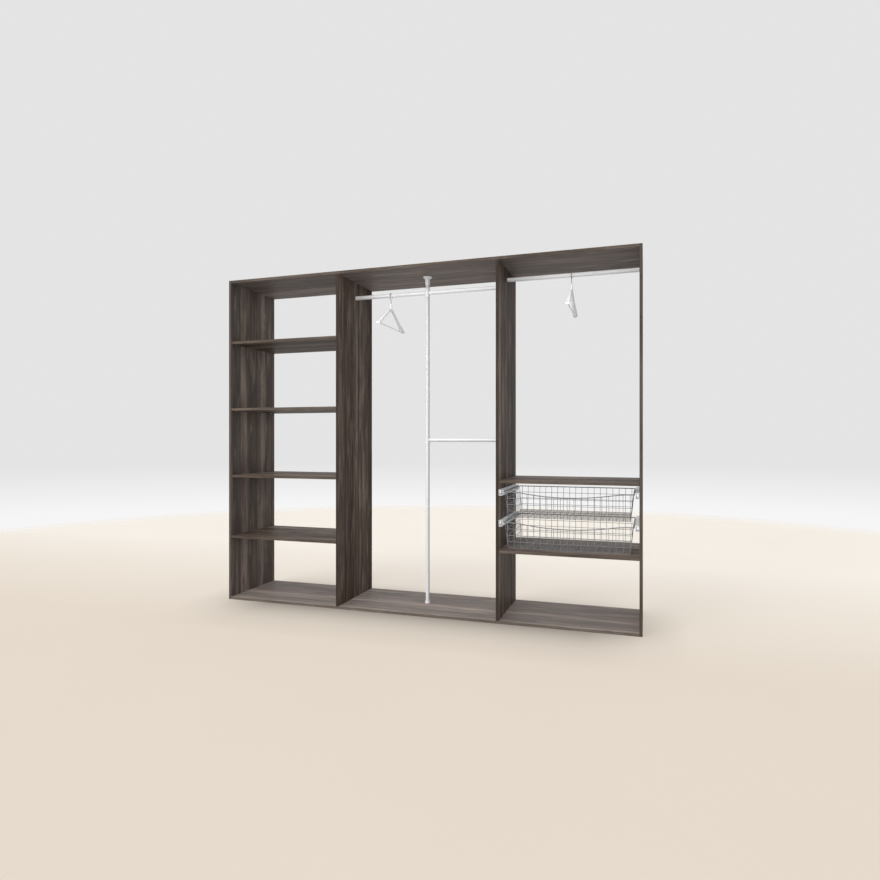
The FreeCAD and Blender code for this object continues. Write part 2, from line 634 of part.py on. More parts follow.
def runners(name, bottom):
    """Fixed and moving runners with their rollers, on the left and mirrored on the right."""
    channel = place(folded(name + "_channel", FIXED_SECTION, "runner_length"),
                    "divider_out", "runner_front", bottom)
    front_axle = axle(name + "_front_axle", "divider_out + runner_gauge", "+X", "axle_shoulder",
                      "front_roller_y", f"{bottom} + front_roller_z")
    fixed = node(cut(name + "_left_fixed_runner", fuse(name + "_left_fixed_blank", channel, *front_axle),
                     runner_holes))
    zed = place(folded(name + "_zed", MOVING_SECTION, "slide_length"), "divider_out", "slide_front", bottom)
    ear = box(name + "_ear", "runner_gauge", "ear_length", "ledge_top - runner_gauge - ear_play",
              "divider_out + slide_web", "slide_back - ear_length", f"{bottom} + runner_gauge + ear_play")
    rear_axle = axle(name + "_rear_axle", "divider_out + slide_web", "-X", "rear_axle_shoulder",
                     "rear_roller_y", f"{bottom} + rear_roller_z")
    moving = node(fuse(name + "_left_moving_runner", zed, ear, *rear_axle))
    front = roller(name + "_left_front_roller", "divider_out + front_roller_s", "front_roller_y",
                   f"{bottom} + front_roller_z")
    rear = roller(name + "_left_rear_roller", "divider_out + rear_roller_s", "rear_roller_y",
                  f"{bottom} + rear_roller_z")
    for piece in (fixed, moving, front, rear):
        node(mirrored(piece.Label.replace("left", "right"), piece, "right_bay_x"))


# Baskets. Each net is one holed face drawn out to the wire's thickness, with its rim bar.

def polygon(points):
    """Closed flat wire through points, half a wire's thickness under the XY plane."""
    corners = [FreeCAD.Vector(x, y, -number("wire") / 2) for x, y in points]
    return Part.makePolygon(corners + corners[:1])


def holed_plate(edge, holes):
    """Flat face with holes, drawn out to the wire's thickness about its own plane."""
    face = Part.makeFace([edge] + holes, "Part::FaceMakerBullseye")
    return face.extrude(Z_AXIS * number("wire"))


def net(columns, rows, half_low, half_high, top_of):
    """Flat net in the XY plane, with X across and Y from the bottom wire's axis to the top edge."""
    wire = number("wire")
    half_wire = wire / 2

    def half_at(y):
        return half_low + (half_high - half_low) * (y + half_wire) / (slope() + half_wire)

    low = -half_wire
    edge = [(-half_at(low), low), (half_at(low), low)]
    pitch = 2 * half_low / columns
    stand = [-half_low + pitch * i for i in range(columns + 1)]
    edge += [(half_high, top_of(half_high))]
    edge += [(x, top_of(x)) for x in reversed(stand[1:-1])]
    edge += [(-half_high, top_of(half_high))]
    holes = []
    for row in range(rows):
        bottom = slope() * row / rows + half_wire
        next_wire = slope() * (row + 1) / rows
        for i in range(columns):
            left = stand[i] + half_wire
            right = stand[i + 1] - half_wire
            top_left = min(next_wire, top_of(left)) - half_wire
            top_right = min(next_wire, top_of(right)) - half_wire
            if min(top_left, top_right) < bottom + half_wire:
                continue
            low_left = left if i else wire - half_at(bottom)
            low_right = right if i < columns - 1 else half_at(bottom) - wire
            high_left = left if i else wire - half_at(top_left)
            high_right = right if i < columns - 1 else half_at(top_right) - wire
            holes.append(polygon(((low_left, bottom), (low_right, bottom),
                                  (high_right, top_right), (high_left, top_left))))
    return holed_plate(polygon(edge), holes)


def slope():
    """Length of a wall from the floor's wires to the rim, along its lean."""
    return math.hypot(number("basket_height"), number("basket_taper"))


def scoop_at(x, half):
    """How far the front rim dips at a place across the basket."""
    dip = number("scoop")
    shoulder = half * SCOOP_SHOULDER_SHARE
    away = half - abs(x)
    if away < shoulder:
        return dip * SCOOP_SHOULDER_SHARE * (away / shoulder) ** 2
    middle = 1 - SCOOP_SHOULDER_SHARE
    return dip * (1 - middle * (x / (half * middle)) ** 2)


def rim_arc(half, a, b):
    """Arc of the front rim between two places, as an edge."""
    points = [FreeCAD.Vector(x, 0, -scoop_at(x, half)) for x in (a, (a + b) / 2, b)]
    return Part.Arc(*points).toShape()


def bar(path):
    """Round rim bar along a path of joined edges."""
    wire = Part.Wire(path)
    start = path[0].valueAt(path[0].FirstParameter)
    along = path[0].tangentAt(path[0].FirstParameter)
    ring = Part.Wire(Part.makeCircle(number("rim_dia") / 2, start, along))
    return wire.makePipeShell([ring], True, True)


def leaned(plate, out, turn):
    """Stand a flat net up against a wall of the basket, leaning out, and turn it to its side."""
    lean = math.degrees(math.atan2(number("basket_taper"), number("basket_height")))
    plate.rotate(FreeCAD.Vector(), X_AXIS, 90 + lean)
    plate.translate(FreeCAD.Vector(0, -out, 0))
    plate.rotate(FreeCAD.Vector(), Z_AXIS, turn)
    return plate


def wall(label, columns, half_top, rim_half, out, rim_out, turn, scooped, x, z):
    """One wall of a basket with its rim bar."""
    taper = number("basket_taper")
    half_low = half_top - taper
    top = slope()
    rim_reach = number("rim_half_width")

    def top_of(across):
        return top - (scoop_at(across, rim_reach) if scooped else 0)

    plate = leaned(net(columns, MESH_UP, half_low, half_top, top_of), out - taper, turn)
    if scooped:
        bend = rim_half * (1 - SCOOP_SHOULDER_SHARE)
        path = [rim_arc(rim_half, -rim_half, -bend), rim_arc(rim_half, -bend, bend),
                rim_arc(rim_half, bend, rim_half)]
    else:
        path = [Part.LineSegment(FreeCAD.Vector(-rim_half, 0, 0), FreeCAD.Vector(rim_half, 0, 0)).toShape()]
    rim = bar(path)
    rim.translate(FreeCAD.Vector(0, -rim_out, number("basket_height")))
    rim.rotate(FreeCAD.Vector(), Z_AXIS, turn)
    return node(shaped(label, plate.fuse(rim).removeSplitter(), x=x, z=z))


def basket(name, floor):
    """Front, back, side and floor nets of one basket."""
    half_wire = number("wire") / 2
    gap = number("net_gap")
    rim_radius = number("rim_dia") / 2
    wide, deep = number("wall_half_width"), number("wall_half_depth")
    rim_wide, rim_deep = number("rim_half_width"), number("rim_half_depth")
    taper = number("basket_taper")
    side_half = deep - half_wire - gap
    side_rim = rim_deep - rim_radius - gap
    across = (MESH_ACROSS, rim_wide - rim_radius - gap, rim_wide + rim_radius, deep, rim_deep)
    wall(name + "_front_net", *across, 0, True, "right_bay_x", floor)
    wall(name + "_back_net", *across, 180, False, "right_bay_x", floor)
    left = wall(name + "_left_net", MESH_BACK, side_half, side_rim, wide, rim_wide, -90, False,
                "right_bay_x", floor)
    node(mirrored(name + "_right_net", left, "right_bay_x"))
    half_x = wide - taper - half_wire - gap
    half_y = deep - taper - half_wire - gap
    node(shaped(name + "_floor_net", floor_net(half_x, half_y), x="right_bay_x", z=floor))


def floor_net(half_x, half_y):
    """Flat holed face of the basket's floor."""
    wire = number("wire")
    pitch_x = (2 * half_x - wire) / MESH_ACROSS
    pitch_y = (2 * half_y - wire) / MESH_BACK
    holes = []
    for i in range(MESH_ACROSS):
        for j in range(MESH_BACK):
            x = wire - half_x + pitch_x * i
            y = wire - half_y + pitch_y * j
            right = x + pitch_x - wire
            back = y + pitch_y - wire
            holes.append(polygon(((x, y), (right, y), (right, back), (x, back))))
    edge = polygon(((-half_x, -half_y), (half_x, -half_y), (half_x, half_y), (-half_x, half_y)))
    return holed_plate(edge, holes)


for name, bottom, floor in (("upper_basket", "runner_2", "floor_2"), ("lower_basket", "runner_1", "floor_1")):
    runners(name, bottom)
    basket(name, floor)

# Coat hangers. Each is modelled about the rail's axis, with its shoulders across the rail.

def hook_wire_shape():
    """Bent wire from the hook's tip over the rail, down in front of it and into the stem."""
    radius, bend = number("hook_radius"), number("hook_bend")
    half_wire = number("hook_wire") / 2
    middle = -number("hook_below_rail")
    bend_z = -number("bend_drop")
    meet = math.atan2(bend_z - middle, -bend)
    tip = HOOK_TIP_ANGLE
    end = -number("arch_drop") - number("hanger_arch") - number("hook_head_gap")

    def on_hook(angle):
        return FreeCAD.Vector(0, radius * math.cos(angle), middle + radius * math.sin(angle))

    def on_bend(angle):
        return FreeCAD.Vector(0, bend * math.cos(angle) - bend, bend_z + bend * math.sin(angle))

    low = meet + 2 * math.pi
    turn = low - math.pi
    path = Part.Wire([
        Part.Arc(on_hook(tip), on_hook(tip + (math.pi / 2 - tip) / 2), on_hook(math.pi / 2)).toShape(),
        Part.Arc(on_hook(math.pi / 2), on_hook((math.pi / 2 + low) / 2), on_hook(low)).toShape(),
        Part.Arc(on_bend(turn), on_bend(turn / 2), on_bend(0)).toShape(),
        Part.LineSegment(on_bend(0), FreeCAD.Vector(0, 0, end)).toShape(),
    ])
    first = path.Edges[0]
    ring = Part.makeCircle(half_wire, first.valueAt(first.FirstParameter), first.tangentAt(first.FirstParameter))
    return path.makePipeShell([Part.Wire(ring)], True, True)


def shoulder_shape():
    """Shoulder piece: a loft through rounded sections from one end to the other."""
    half = number("hanger_length") / 2
    top = -number("arch_drop") - number("hanger_arch") / 2
    fall = number("hanger_fall")
    sections = [(-a, b, c, d) for a, b, c, d in reversed(SHOULDER_SHARES[1:])] + list(SHOULDER_SHARES)
    rings = []
    for along, down, wide, tall in sections:
        a = number("hanger_end_width") / 2 * wide
        b = number("hanger_arch") / 2 * tall
        centre = FreeCAD.Vector(0, half * along, top - fall * down)
        quarters = []
        for right, up in ((1, 1), (-1, 1), (-1, -1), (1, -1)):
            ends = [FreeCAD.Vector(right * a, 0, 0), FreeCAD.Vector(0, 0, up * b)]
            if right * up < 0:
                ends.reverse()
            between = FreeCAD.Vector(right * a * ROUND_SHARE, 0, up * b * ROUND_SHARE)
            quarters.append(Part.Arc(centre + ends[0], centre + between, centre + ends[1]).toShape())
        rings.append(Part.Wire(quarters))
    return Part.makeLoft(rings, True, False)


def hanger(name, x, z):
    """Hook and shoulder piece of one hanger on the rail at a place."""
    under = "-arch_drop - hanger_arch - hook_head_gap - hook_head"
    head = cylinder(name + "_head", "hook_head_dia / 2", "hook_head", z=under)
    node(place(fuse(name + "_hook", shaped(name + "_wire", hook_wire_shape()), head), x, "0", z))
    neck = place(add("Part::Cone", name + "_neck"), z="-arch_drop - hanger_arch / 2")
    bind(neck, Radius1="hanger_neck_dia / 2 + hanger_neck_dia / 4", Radius2="hanger_neck_dia / 2",
         Height="hanger_neck + hanger_arch / 2")
    trouser_bar = cylinder(name + "_bar", "hanger_bar_dia / 2", "hanger_length - hanger_end_width / 2",
                           y="hanger_end_width / 4 - hanger_length / 2", z="-hanger_end_drop", along="+Y")
    blank = fuse(name + "_blank", shaped(name + "_shoulder_loft", shoulder_shape()), neck, trouser_bar)
    bore = cylinder(name + "_bore", "hook_wire / 2 + hook_play", "hanger_neck + hanger_arch + 2 * overrun",
                    z="-arch_drop - hanger_arch - overrun")
    node(place(cut(name + "_shoulders", blank, bore), x, "0", z))


hanger("middle_hanger", "middle_hanger_x", "middle_rail_z")
hanger("right_hanger", "right_bay_x", "right_rail_z")

# Test every object and write each sub-part.

doc.recompute()
for thing in doc.Objects:
    if "Invalid" in thing.State or "Error" in thing.State:
        raise RuntimeError(f"{thing.Label} failed: {thing.State}")
for label, piece in nodes.items():
    if piece.Shape.isNull() or not piece.Shape.isValid() or not piece.Shape.Solids:
        raise RuntimeError(f"{label} has no valid solid")
for label, piece in nodes.items():
    piece.Shape.exportStep(f"parts/{label}.step")
print(len(nodes), "sub-parts,", sum(len(piece.Shape.Solids) for piece in nodes.values()), "solids")
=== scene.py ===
"""Dress the packed closet system: wood-grain boards, white rails, wire baskets, hangers and a studio stage.

Everything is in metres, in the frame of the packed model: X to the right, Y to the back, Z up.
"""

import json
import math

import bmesh
import bpy
from bpy.props import FloatProperty, FloatVectorProperty, IntProperty, PointerProperty
from mathutils import Matrix, Vector


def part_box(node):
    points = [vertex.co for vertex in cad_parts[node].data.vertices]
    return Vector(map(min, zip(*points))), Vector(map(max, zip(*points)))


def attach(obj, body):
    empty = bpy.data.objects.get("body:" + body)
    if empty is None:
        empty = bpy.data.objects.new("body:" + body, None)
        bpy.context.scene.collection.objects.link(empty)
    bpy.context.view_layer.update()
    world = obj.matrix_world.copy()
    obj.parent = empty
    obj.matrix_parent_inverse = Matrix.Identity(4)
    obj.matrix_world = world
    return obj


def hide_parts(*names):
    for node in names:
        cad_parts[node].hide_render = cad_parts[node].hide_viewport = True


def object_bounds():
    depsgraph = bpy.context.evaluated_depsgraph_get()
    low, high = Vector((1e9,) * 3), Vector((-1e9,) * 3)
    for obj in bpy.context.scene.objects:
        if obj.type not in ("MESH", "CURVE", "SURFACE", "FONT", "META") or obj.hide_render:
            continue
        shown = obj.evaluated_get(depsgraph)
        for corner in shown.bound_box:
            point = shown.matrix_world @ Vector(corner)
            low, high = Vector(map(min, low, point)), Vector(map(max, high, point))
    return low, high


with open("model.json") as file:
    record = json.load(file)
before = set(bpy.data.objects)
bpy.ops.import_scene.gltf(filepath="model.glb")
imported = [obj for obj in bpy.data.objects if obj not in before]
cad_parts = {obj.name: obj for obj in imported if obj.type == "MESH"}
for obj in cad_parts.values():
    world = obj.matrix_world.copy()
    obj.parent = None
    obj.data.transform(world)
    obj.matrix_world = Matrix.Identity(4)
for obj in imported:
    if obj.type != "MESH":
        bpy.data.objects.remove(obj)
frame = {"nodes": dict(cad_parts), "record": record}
CAD_BOX = [list(corner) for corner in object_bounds()]

bl_info = {
    "name": "Closet System",
    "version": (1, 0, 0),
    "blender": (4, 5, 0),
    "location": "3D View > Sidebar > Closet",
    "description": "Dress the boards, rails, wire baskets and hangers of a closet system",
    "category": "Object",
}

BASKETS = ("upper_basket", "lower_basket")
WALLS = ("front", "back", "left", "right", "floor")
UPRIGHTS = ("left_side_panel", "right_side_panel", "left_divider_panel", "right_divider_panel")
# Rails painted whiter, and fittings painted greyer, as lit and shaded copies of the white coating: painted
# light
HIGH_RAILS = ("middle_rail_left", "middle_rail_right", "right_bay_rail")
LOW_FITTINGS = ("tee_collar", "post_foot")
X_AXIS, Y_AXIS, Z_AXIS = Vector((1, 0, 0)), Vector((0, 1, 0)), Vector((0, 0, 1))
HALF_WIDE, HALF_DEEP = CAD_BOX[1][:2]
RIGHT_ANGLE = math.pi / 2

# Mean of a noise, which swings about it
NOISE_MEAN = 0.5

# Seams of the printed planks: how far they shift, in planks
PLANK_SHIFT = 0.832
# Boards told apart to the metre
BOARD_PITCH = 3.0
# How far the print jumps from plank to plank, from board to board and per metre
PLANK_JUMP, BOARD_JUMP, DEPTH_JUMP = 5.37, 3.71, 6.0
# Step from board to board in the row of random plank tones
BOARD_TONE_STEP = 7.0
# How far strips, planks and streaks sway the figure of the grain
STRIP_SWAY, PLANK_SWAY, STREAK_SWAY = 1.3, 0.20, 0.32
# Places of the four tones on the figure, from the darkest to the palest
TONE_PLACES = (0.29, 0.45, 0.56, 0.76)

# Ramps of the laminate: pairs of a place and the share of a tone there
LATE_WOOD = ((0.0, 0.0), (0.55, 0.15), (0.88, 0.45), (1.0, 0.0))
RUST_PATCH = ((0.34, 0.65), (0.46, 0.0))
MOSS_PATCH = ((0.54, 0.0), (0.66, 0.60))
PALE_DASH = ((0.58, 0.0), (0.74, 0.65))
DARK_DASH = ((0.27, 0.80), (0.42, 0.0))
PLANK_SEAM = ((0.450, 0.0), (0.485, 0.80))
EDGE_FACING = ((0.45, 0.0), (0.55, 1.0))
RIGHT_END = ((0.78, 0.0), (0.95, 1.0))
BAND_SHADOW = ((0.35, 0.55), (0.60, 0.0))
DARK_LINE = ((0.36, 0.60), (0.54, 0.0))
PALE_LINE = ((0.56, 0.0), (0.72, 0.50))
PRESSED_PORE = ((0.30, 1.0), (0.40, 0.0))
# How far a pore darkens and dulls the laminate, how far streaks change its gloss, and its mirror level
PORE_SHADE, PORE_DULLING, STREAK_GLOSS, LAMINATE_MIRROR = 0.35, 0.12, 0.18, 0.05

# Coatings: clouds to the metre, tone and share of the worn places, and how far ripples and clouds
# change the gloss
COAT_CLOUDS = (9.0, 9.0, 9.0)
COAT_WORN_TONE, COAT_WORN = 0.88, ((0.35, 0.0), (0.75, 0.5))
RIPPLE_GLOSS, CLOUD_GLOSS = 0.10, 0.12
# Steel: scratches and clouds to the metre, tone and share of the dull places, and how far scratches
# change the gloss
STEEL_SCRATCHES, STEEL_CLOUDS = (900.0, 900.0, 160.0), (60.0, 60.0, 60.0)
STEEL_DULL_TONE, STEEL_DULL = 0.72, ((0.35, 0.0), (0.70, 0.8))
SCRATCH_GLOSS = 0.22
# Beech: flecks to the metre, their tone and share, its roughness, and how far flecks change that
BEECH_FLECKS = (250.0, 900.0, 900.0)
FLECK_TONE, FLECK = 0.6, ((0.45, 0.0), (0.70, 0.8))
BEECH_ROUGHNESS, FLECK_GLOSS = 0.6, 0.2

# Distance within which the ends of a closed wire are joined
JOINED = 0.0004

# Soft shade of the floor: shares of its depth ahead and beside by shares of its reach, and behind by metres
SHADE_AHEAD = ((0.0, 1.0), (0.17, 0.68), (0.34, 0.41), (0.56, 0.20), (1.0, 0.0))
SHADE_BESIDE = ((0.0, 1.0), (0.5, 0.30), (0.9, 0.0))
SHADE_BEHIND = ((0.3, 1.0), (0.76, 0.45), (1.0, 0.08))
# Floor: its corners, where its rim fades, its change of tone from front to back, its clouds, and its gloss
FLOOR_CORNERS = 128
FLOOR_RIM = ((0.90, 0.0), (1.0, 1.0))
FLOOR_SPAN, FLOOR_AWAY = 5.0, ((0.35, 0.0), (0.85, 1.0))
FLOOR_CLOUDS, FLOOR_CLOUD_SHARE, FLOOR_CLOUD_TONE = 1.3, 0.06, (0.5, 0.45, 0.4)
FLOOR_ROUGHNESS, FLOOR_MIRROR = 0.75, 0.2
# World: pale tone under the horizon, places between which the backdrop takes its grey, and edges of
# walls and ceiling
HORIZON = (0.92, 0.92, 0.92)
HORIZON_LOW, HORIZON_HIGH = 0.30, 0.425
WALL_TOP, CEILING_EDGE = 0.15, 0.60
# Side and height of the overhead lamp
LAMP_SIZE, LAMP_HEIGHT = 7.0, 5.2
# Far lights: each one's setting, its spread and turn in degrees, and whether it casts shadows
FAR_LIGHTS = (
    ("window_light", 40, (78, 0, 34), True),
    ("key_light", 40, (78, 0, -30), True),
    ("fill_light", 60, (45, 0, -25), False),
)
# Width of the camera's sensor in millimetres
SENSOR_WIDTH = 36.0


def nodes_of(slot):
    """Names of the frame's nodes that take a material slot of the record."""
    return [part["node"] for part in frame["record"]["subparts"] if part["material_slot"] == slot]


def colour(name, description, red, green, blue):
    """Colour property of a finish, in linear light."""
    return FloatVectorProperty(name=name, description=description, subtype="COLOR", size=3, min=0, max=1,
                               default=(red, green, blue))


def length(name, description, default):
    """Length property in metres."""
    return FloatProperty(name=name, description=description, subtype="DISTANCE", unit="LENGTH", min=0,
                         default=default, precision=4)


def share(name, description, default):
    """Property between nothing and all."""
    return FloatProperty(name=name, description=description, subtype="FACTOR", min=0, max=1, default=default)


def amount(name, description, default):
    """Plain property of nothing or more, such as a light's strength."""
    return FloatProperty(name=name, description=description, min=0, default=default)


def count(name, description, least, default):
    """Whole-number property with a least value."""
    return IntProperty(name=name, description=description, min=least, default=default)


class LaminateSettings(bpy.types.PropertyGroup):
    """Wood-grain laminate of the boards."""
    smoke: colour("Smoke", "Darkest streaks of the grain", 0.0293, 0.0207, 0.0158)
    bark: colour("Bark", "Dark brown of the grain", 0.079, 0.0531, 0.0395)
    mauve: colour("Mauve", "Purple-grey of the grain", 0.1235, 0.0907, 0.0735)
    ash: colour("Ash", "Palest streaks of the grain", 0.242, 0.188, 0.1525)
    # Painted sheen: the pale grey below is what the boards with painted light are mixed towards
    painted_sheen: colour("Haze", "Pale grey that the faded boards tend to", 0.415, 0.392, 0.380)
    rust: colour("Rust", "Reddish patches of the grain", 0.073, 0.0445, 0.0350)
    moss: colour("Moss", "Olive-brown patches of the grain", 0.099, 0.0755, 0.0550)
    edge: colour("Edge", "Edge bands of the uprights", 0.043, 0.0315, 0.0245)
    edge_right: colour("Edge at the right", "Edge bands at the right side", 0.096, 0.077, 0.062)
    lip: colour("Lip", "Edge bands of the lying boards", 0.117, 0.092, 0.072)
    # Painted light: the shares below paint the left side panel, the shelves, the top and bottom panels and
    # some edge bands brighter and paler, as lit copies of one laminate that stand in for how light falls on
    # each board
    side_painted_light: share("Left side fade", "How far the left side panel fades", 0.23)
    shelf_painted_light: share("Shelf fade", "How far the shelves fade", 0.06)
    low_shelf_painted_light: share("Low shelf fade", "How far the shelf under the baskets fades", 0.12)
    top_painted_light: share("Top fade", "How far the top panel fades", 0.42)
    bottom_painted_light: share("Bottom fade", "How far the bottom panel fades", 0.54)
    painted_light_gain: amount("Fade gain", "Brightening of a fully faded board", 1.5)
    painted_sheen_share: share("Haze share", "Share of the haze on a fully faded board", 0.55)
    side_edge_painted_light: share("Side edge fade", "How far the left side's edge bands fade", 0.13)
    low_shelf_edge_painted_light: share("Low shelf edge fade", "How far the edge bands under the baskets fade", 0.02)
    bottom_edge_painted_light: share("Bottom edge fade", "How far the bottom panel's edge bands fade", 0.11)
    plank_width: length("Plank width", "Width of a printed plank", 0.190)
    band_width: length("Band width", "Width of the broad bands, across the grain", 0.075)
    band_length: length("Band length", "Length of the broad bands, along the grain", 0.50)
    strip_width: length("Strip width", "Width of the long strips, across the grain", 0.090)
    strip_length: length("Strip length", "Length of the long strips, along the grain", 5.0)
    ring_width: length("Ring width", "Width of a figure of growth lines, across the grain", 0.085)
    ring_length: length("Ring length", "Length of a figure of growth lines, along the grain", 0.90)
    ring_count: amount("Ring count", "Growth lines in a figure", 16)
    patch_width: length("Patch width", "Width of the reddish and olive patches", 0.0975)
    patch_length: length("Patch length", "Length of the reddish and olive patches", 0.90)
    pale_dash_width: length("Pale dash width", "Width of the pale dashes", 0.022)
    pale_dash_length: length("Pale dash length", "Length of the pale dashes", 0.240)
    dark_dash_width: length("Dark dash width", "Width of the dark dashes", 0.0154)
    dark_dash_length: length("Dark dash length", "Length of the dark dashes", 0.312)
    line_width: length("Line width", "Width of the printed lines along an edge band", 0.0024)
    line_length: length("Line length", "Length of the printed lines along an edge band", 0.20)
    streak_width: length("Streak width", "Width of the fine streaks, across the grain", 0.005)
    streak_length: length("Streak length", "Length of the fine streaks, along the grain", 0.30)
    pore_width: length("Pore width", "Width of the pressed pores, across the grain", 0.0016)
    pore_length: length("Pore length", "Length of the pressed pores, along the grain", 0.045)
    pore_depth: length("Pore depth", "Depth of the pressed pores", 0.00012)
    roughness: share("Roughness", "Roughness of the pressed surface", 0.52)


class CoatingSettings(bpy.types.PropertyGroup):
    """Coatings, plastics and metals of the fittings."""
    # Painted light: these whites are lit and shaded copies of one white coating. The rails under the top
    # panel and the flange, cross collar and plugs are painted whiter against the shade on them, and the post,
    # half-height rail, tee collar and foot greyer.
    tube_white: colour("Tube white", "Satin coating of the post and the half-height rail", 0.63, 0.635, 0.64)
    rail_painted_lit_white: colour("Rail white", "Satin coating of the rails under the top panel", 0.90, 0.90, 0.90)
    fitting_white: colour("Fitting white", "Moulded flange, cross collar and plugs", 0.86, 0.86, 0.86)
    low_fitting_painted_shade_white: colour("Low fitting white", "Moulded tee collar and foot", 0.64, 0.64, 0.645)
    wire_grey: colour("Wire grey", "Coating of the basket wires", 0.19, 0.19, 0.195)
    runner_grey: colour("Runner grey", "Coating of the basket runners", 0.80, 0.80, 0.80)
    roller_white: colour("Roller white", "Nylon of the rollers", 0.80, 0.80, 0.78)
    hanger_white: colour("Hanger white", "Plastic of the hangers' shoulders", 0.94, 0.94, 0.94)
    hook_steel: colour("Hook steel", "Drawn wire of the hangers' hooks", 0.40, 0.40, 0.41)
    screw_steel: colour("Screw steel", "Plating of the screws and shelf pins", 0.55, 0.55, 0.56)
    dowel_beech: colour("Dowel beech", "Wood of the dowels", 0.55, 0.40, 0.24)
    peel_size: length("Peel size", "Width of the coating's soft ripples", 0.0025)
    peel_depth: length("Peel depth", "Depth of the coating's soft ripples", 0.00003)


class BasketSettings(bpy.types.PropertyGroup):
    """Wires of the sliding baskets."""
    rim_diameter: length("Rim diameter", "Thickness of the rim bar", 0.0055)
    wire_diameter: length("Wire diameter", "Thickness of a mesh wire", 0.0026)
    weld: length("Weld", "How deep crossing wires sink into each other", 0.0006)
    rim_corner: length("Rim corner", "Radius of the rim's corners", 0.012)
    wire_bend: length("Wire bend", "Radius of the wires' bends at the floor", 0.009)
    scoop: length("Scoop", "Dip of the front rim at its middle", 0.027)
    shoulder: share("Shoulder", "Share of the scoop that curves down before it levels", 0.3)
    across: count("Across", "Meshes from side to side", 1, 18)
    deep: count("Deep", "Meshes from front to back", 1, 12)
    up: count("Up", "Meshes from the floor to the rim", 1, 4)
    sides: count("Sides", "Faces round a mesh wire", 6, 10)
    steps: count("Steps", "Faces along a bend", 2, 6)


class StageSettings(bpy.types.PropertyGroup):
    """Floor, light and camera."""
    floor: colour("Floor", "Pale floor in front", 0.820, 0.730, 0.625)
    floor_far: colour("Floor behind", "Paler floor behind the closet", 0.97, 0.91, 0.83)
    backdrop: colour("Backdrop", "Grey behind the closet", 0.776, 0.776, 0.776)
    floor_bounce: colour("Floor bounce", "Tone of the floor in the light it throws back", 0.60, 0.60, 0.61)
    floor_glow: share("Floor glow", "Share of the floor's tone that the camera sees without shade", 0.50)
    shade: share("Shade", "Depth of the soft shade along the closet's front", 0.56)
    shade_reach: length("Shade reach", "How far the soft shade at the closet's foot spreads", 0.58)
    floor_radius: length("Floor radius", "Radius of the round floor", 6.2)
    lens: FloatProperty(name="Lens", description="Focal length of the camera in millimetres", min=1,
                        default=25.742)
    eye: FloatVectorProperty(name="Eye", description="Place of the camera", subtype="TRANSLATION", size=3,
                             default=(1.310, -3.776, 1.054))
    heading: FloatProperty(name="Heading", description="Turn of the camera about the upright axis",
                           subtype="ANGLE", unit="ROTATION", default=math.radians(18.0135))
    rise: FloatProperty(name="Rise", description="Upward shift of the camera's frame", default=-0.00076)
    room_light: amount("Room light", "Strength of the light from all round", 1.10)
    ceiling_share: share("Ceiling share", "Share of the room light that comes from high up", 0.25)
    window_light: amount("Window light", "Strength of the soft light from the front", 0.20)
    fill_light: amount("Fill light", "Strength of the soft light from high on the left", 1.8)
    key_light: amount("Key light", "Strength of the soft low light from the front left", 1.3)
    lamp_power: FloatProperty(name="Lamp power", description="Power of the overhead lamp", subtype="POWER",
                              unit="POWER", min=0, default=30)


class Socket:
    """Output of a shader node. Arithmetic on it adds Math nodes to the same finish."""

    def __init__(self, finish, output):
        self.finish = finish
        self.output = output

    def math(self, operation, first, second=0.0):
        return self.finish.node("ShaderNodeMath", {"operation": operation}, {0: first, 1: second})

    def __add__(self, other):
        return self.math("ADD", self, other)

    def __radd__(self, other):
        return self.math("ADD", other, self)

    def __sub__(self, other):
        return self.math("SUBTRACT", self, other)

    def __rsub__(self, other):
        return self.math("SUBTRACT", other, self)

    def __mul__(self, other):
        return self.math("MULTIPLY", self, other)

    def __rmul__(self, other):
        return self.math("MULTIPLY", other, self)

    def __abs__(self):
        return self.math("ABSOLUTE", self)

    def __floor__(self):
        return self.math("FLOOR", self)


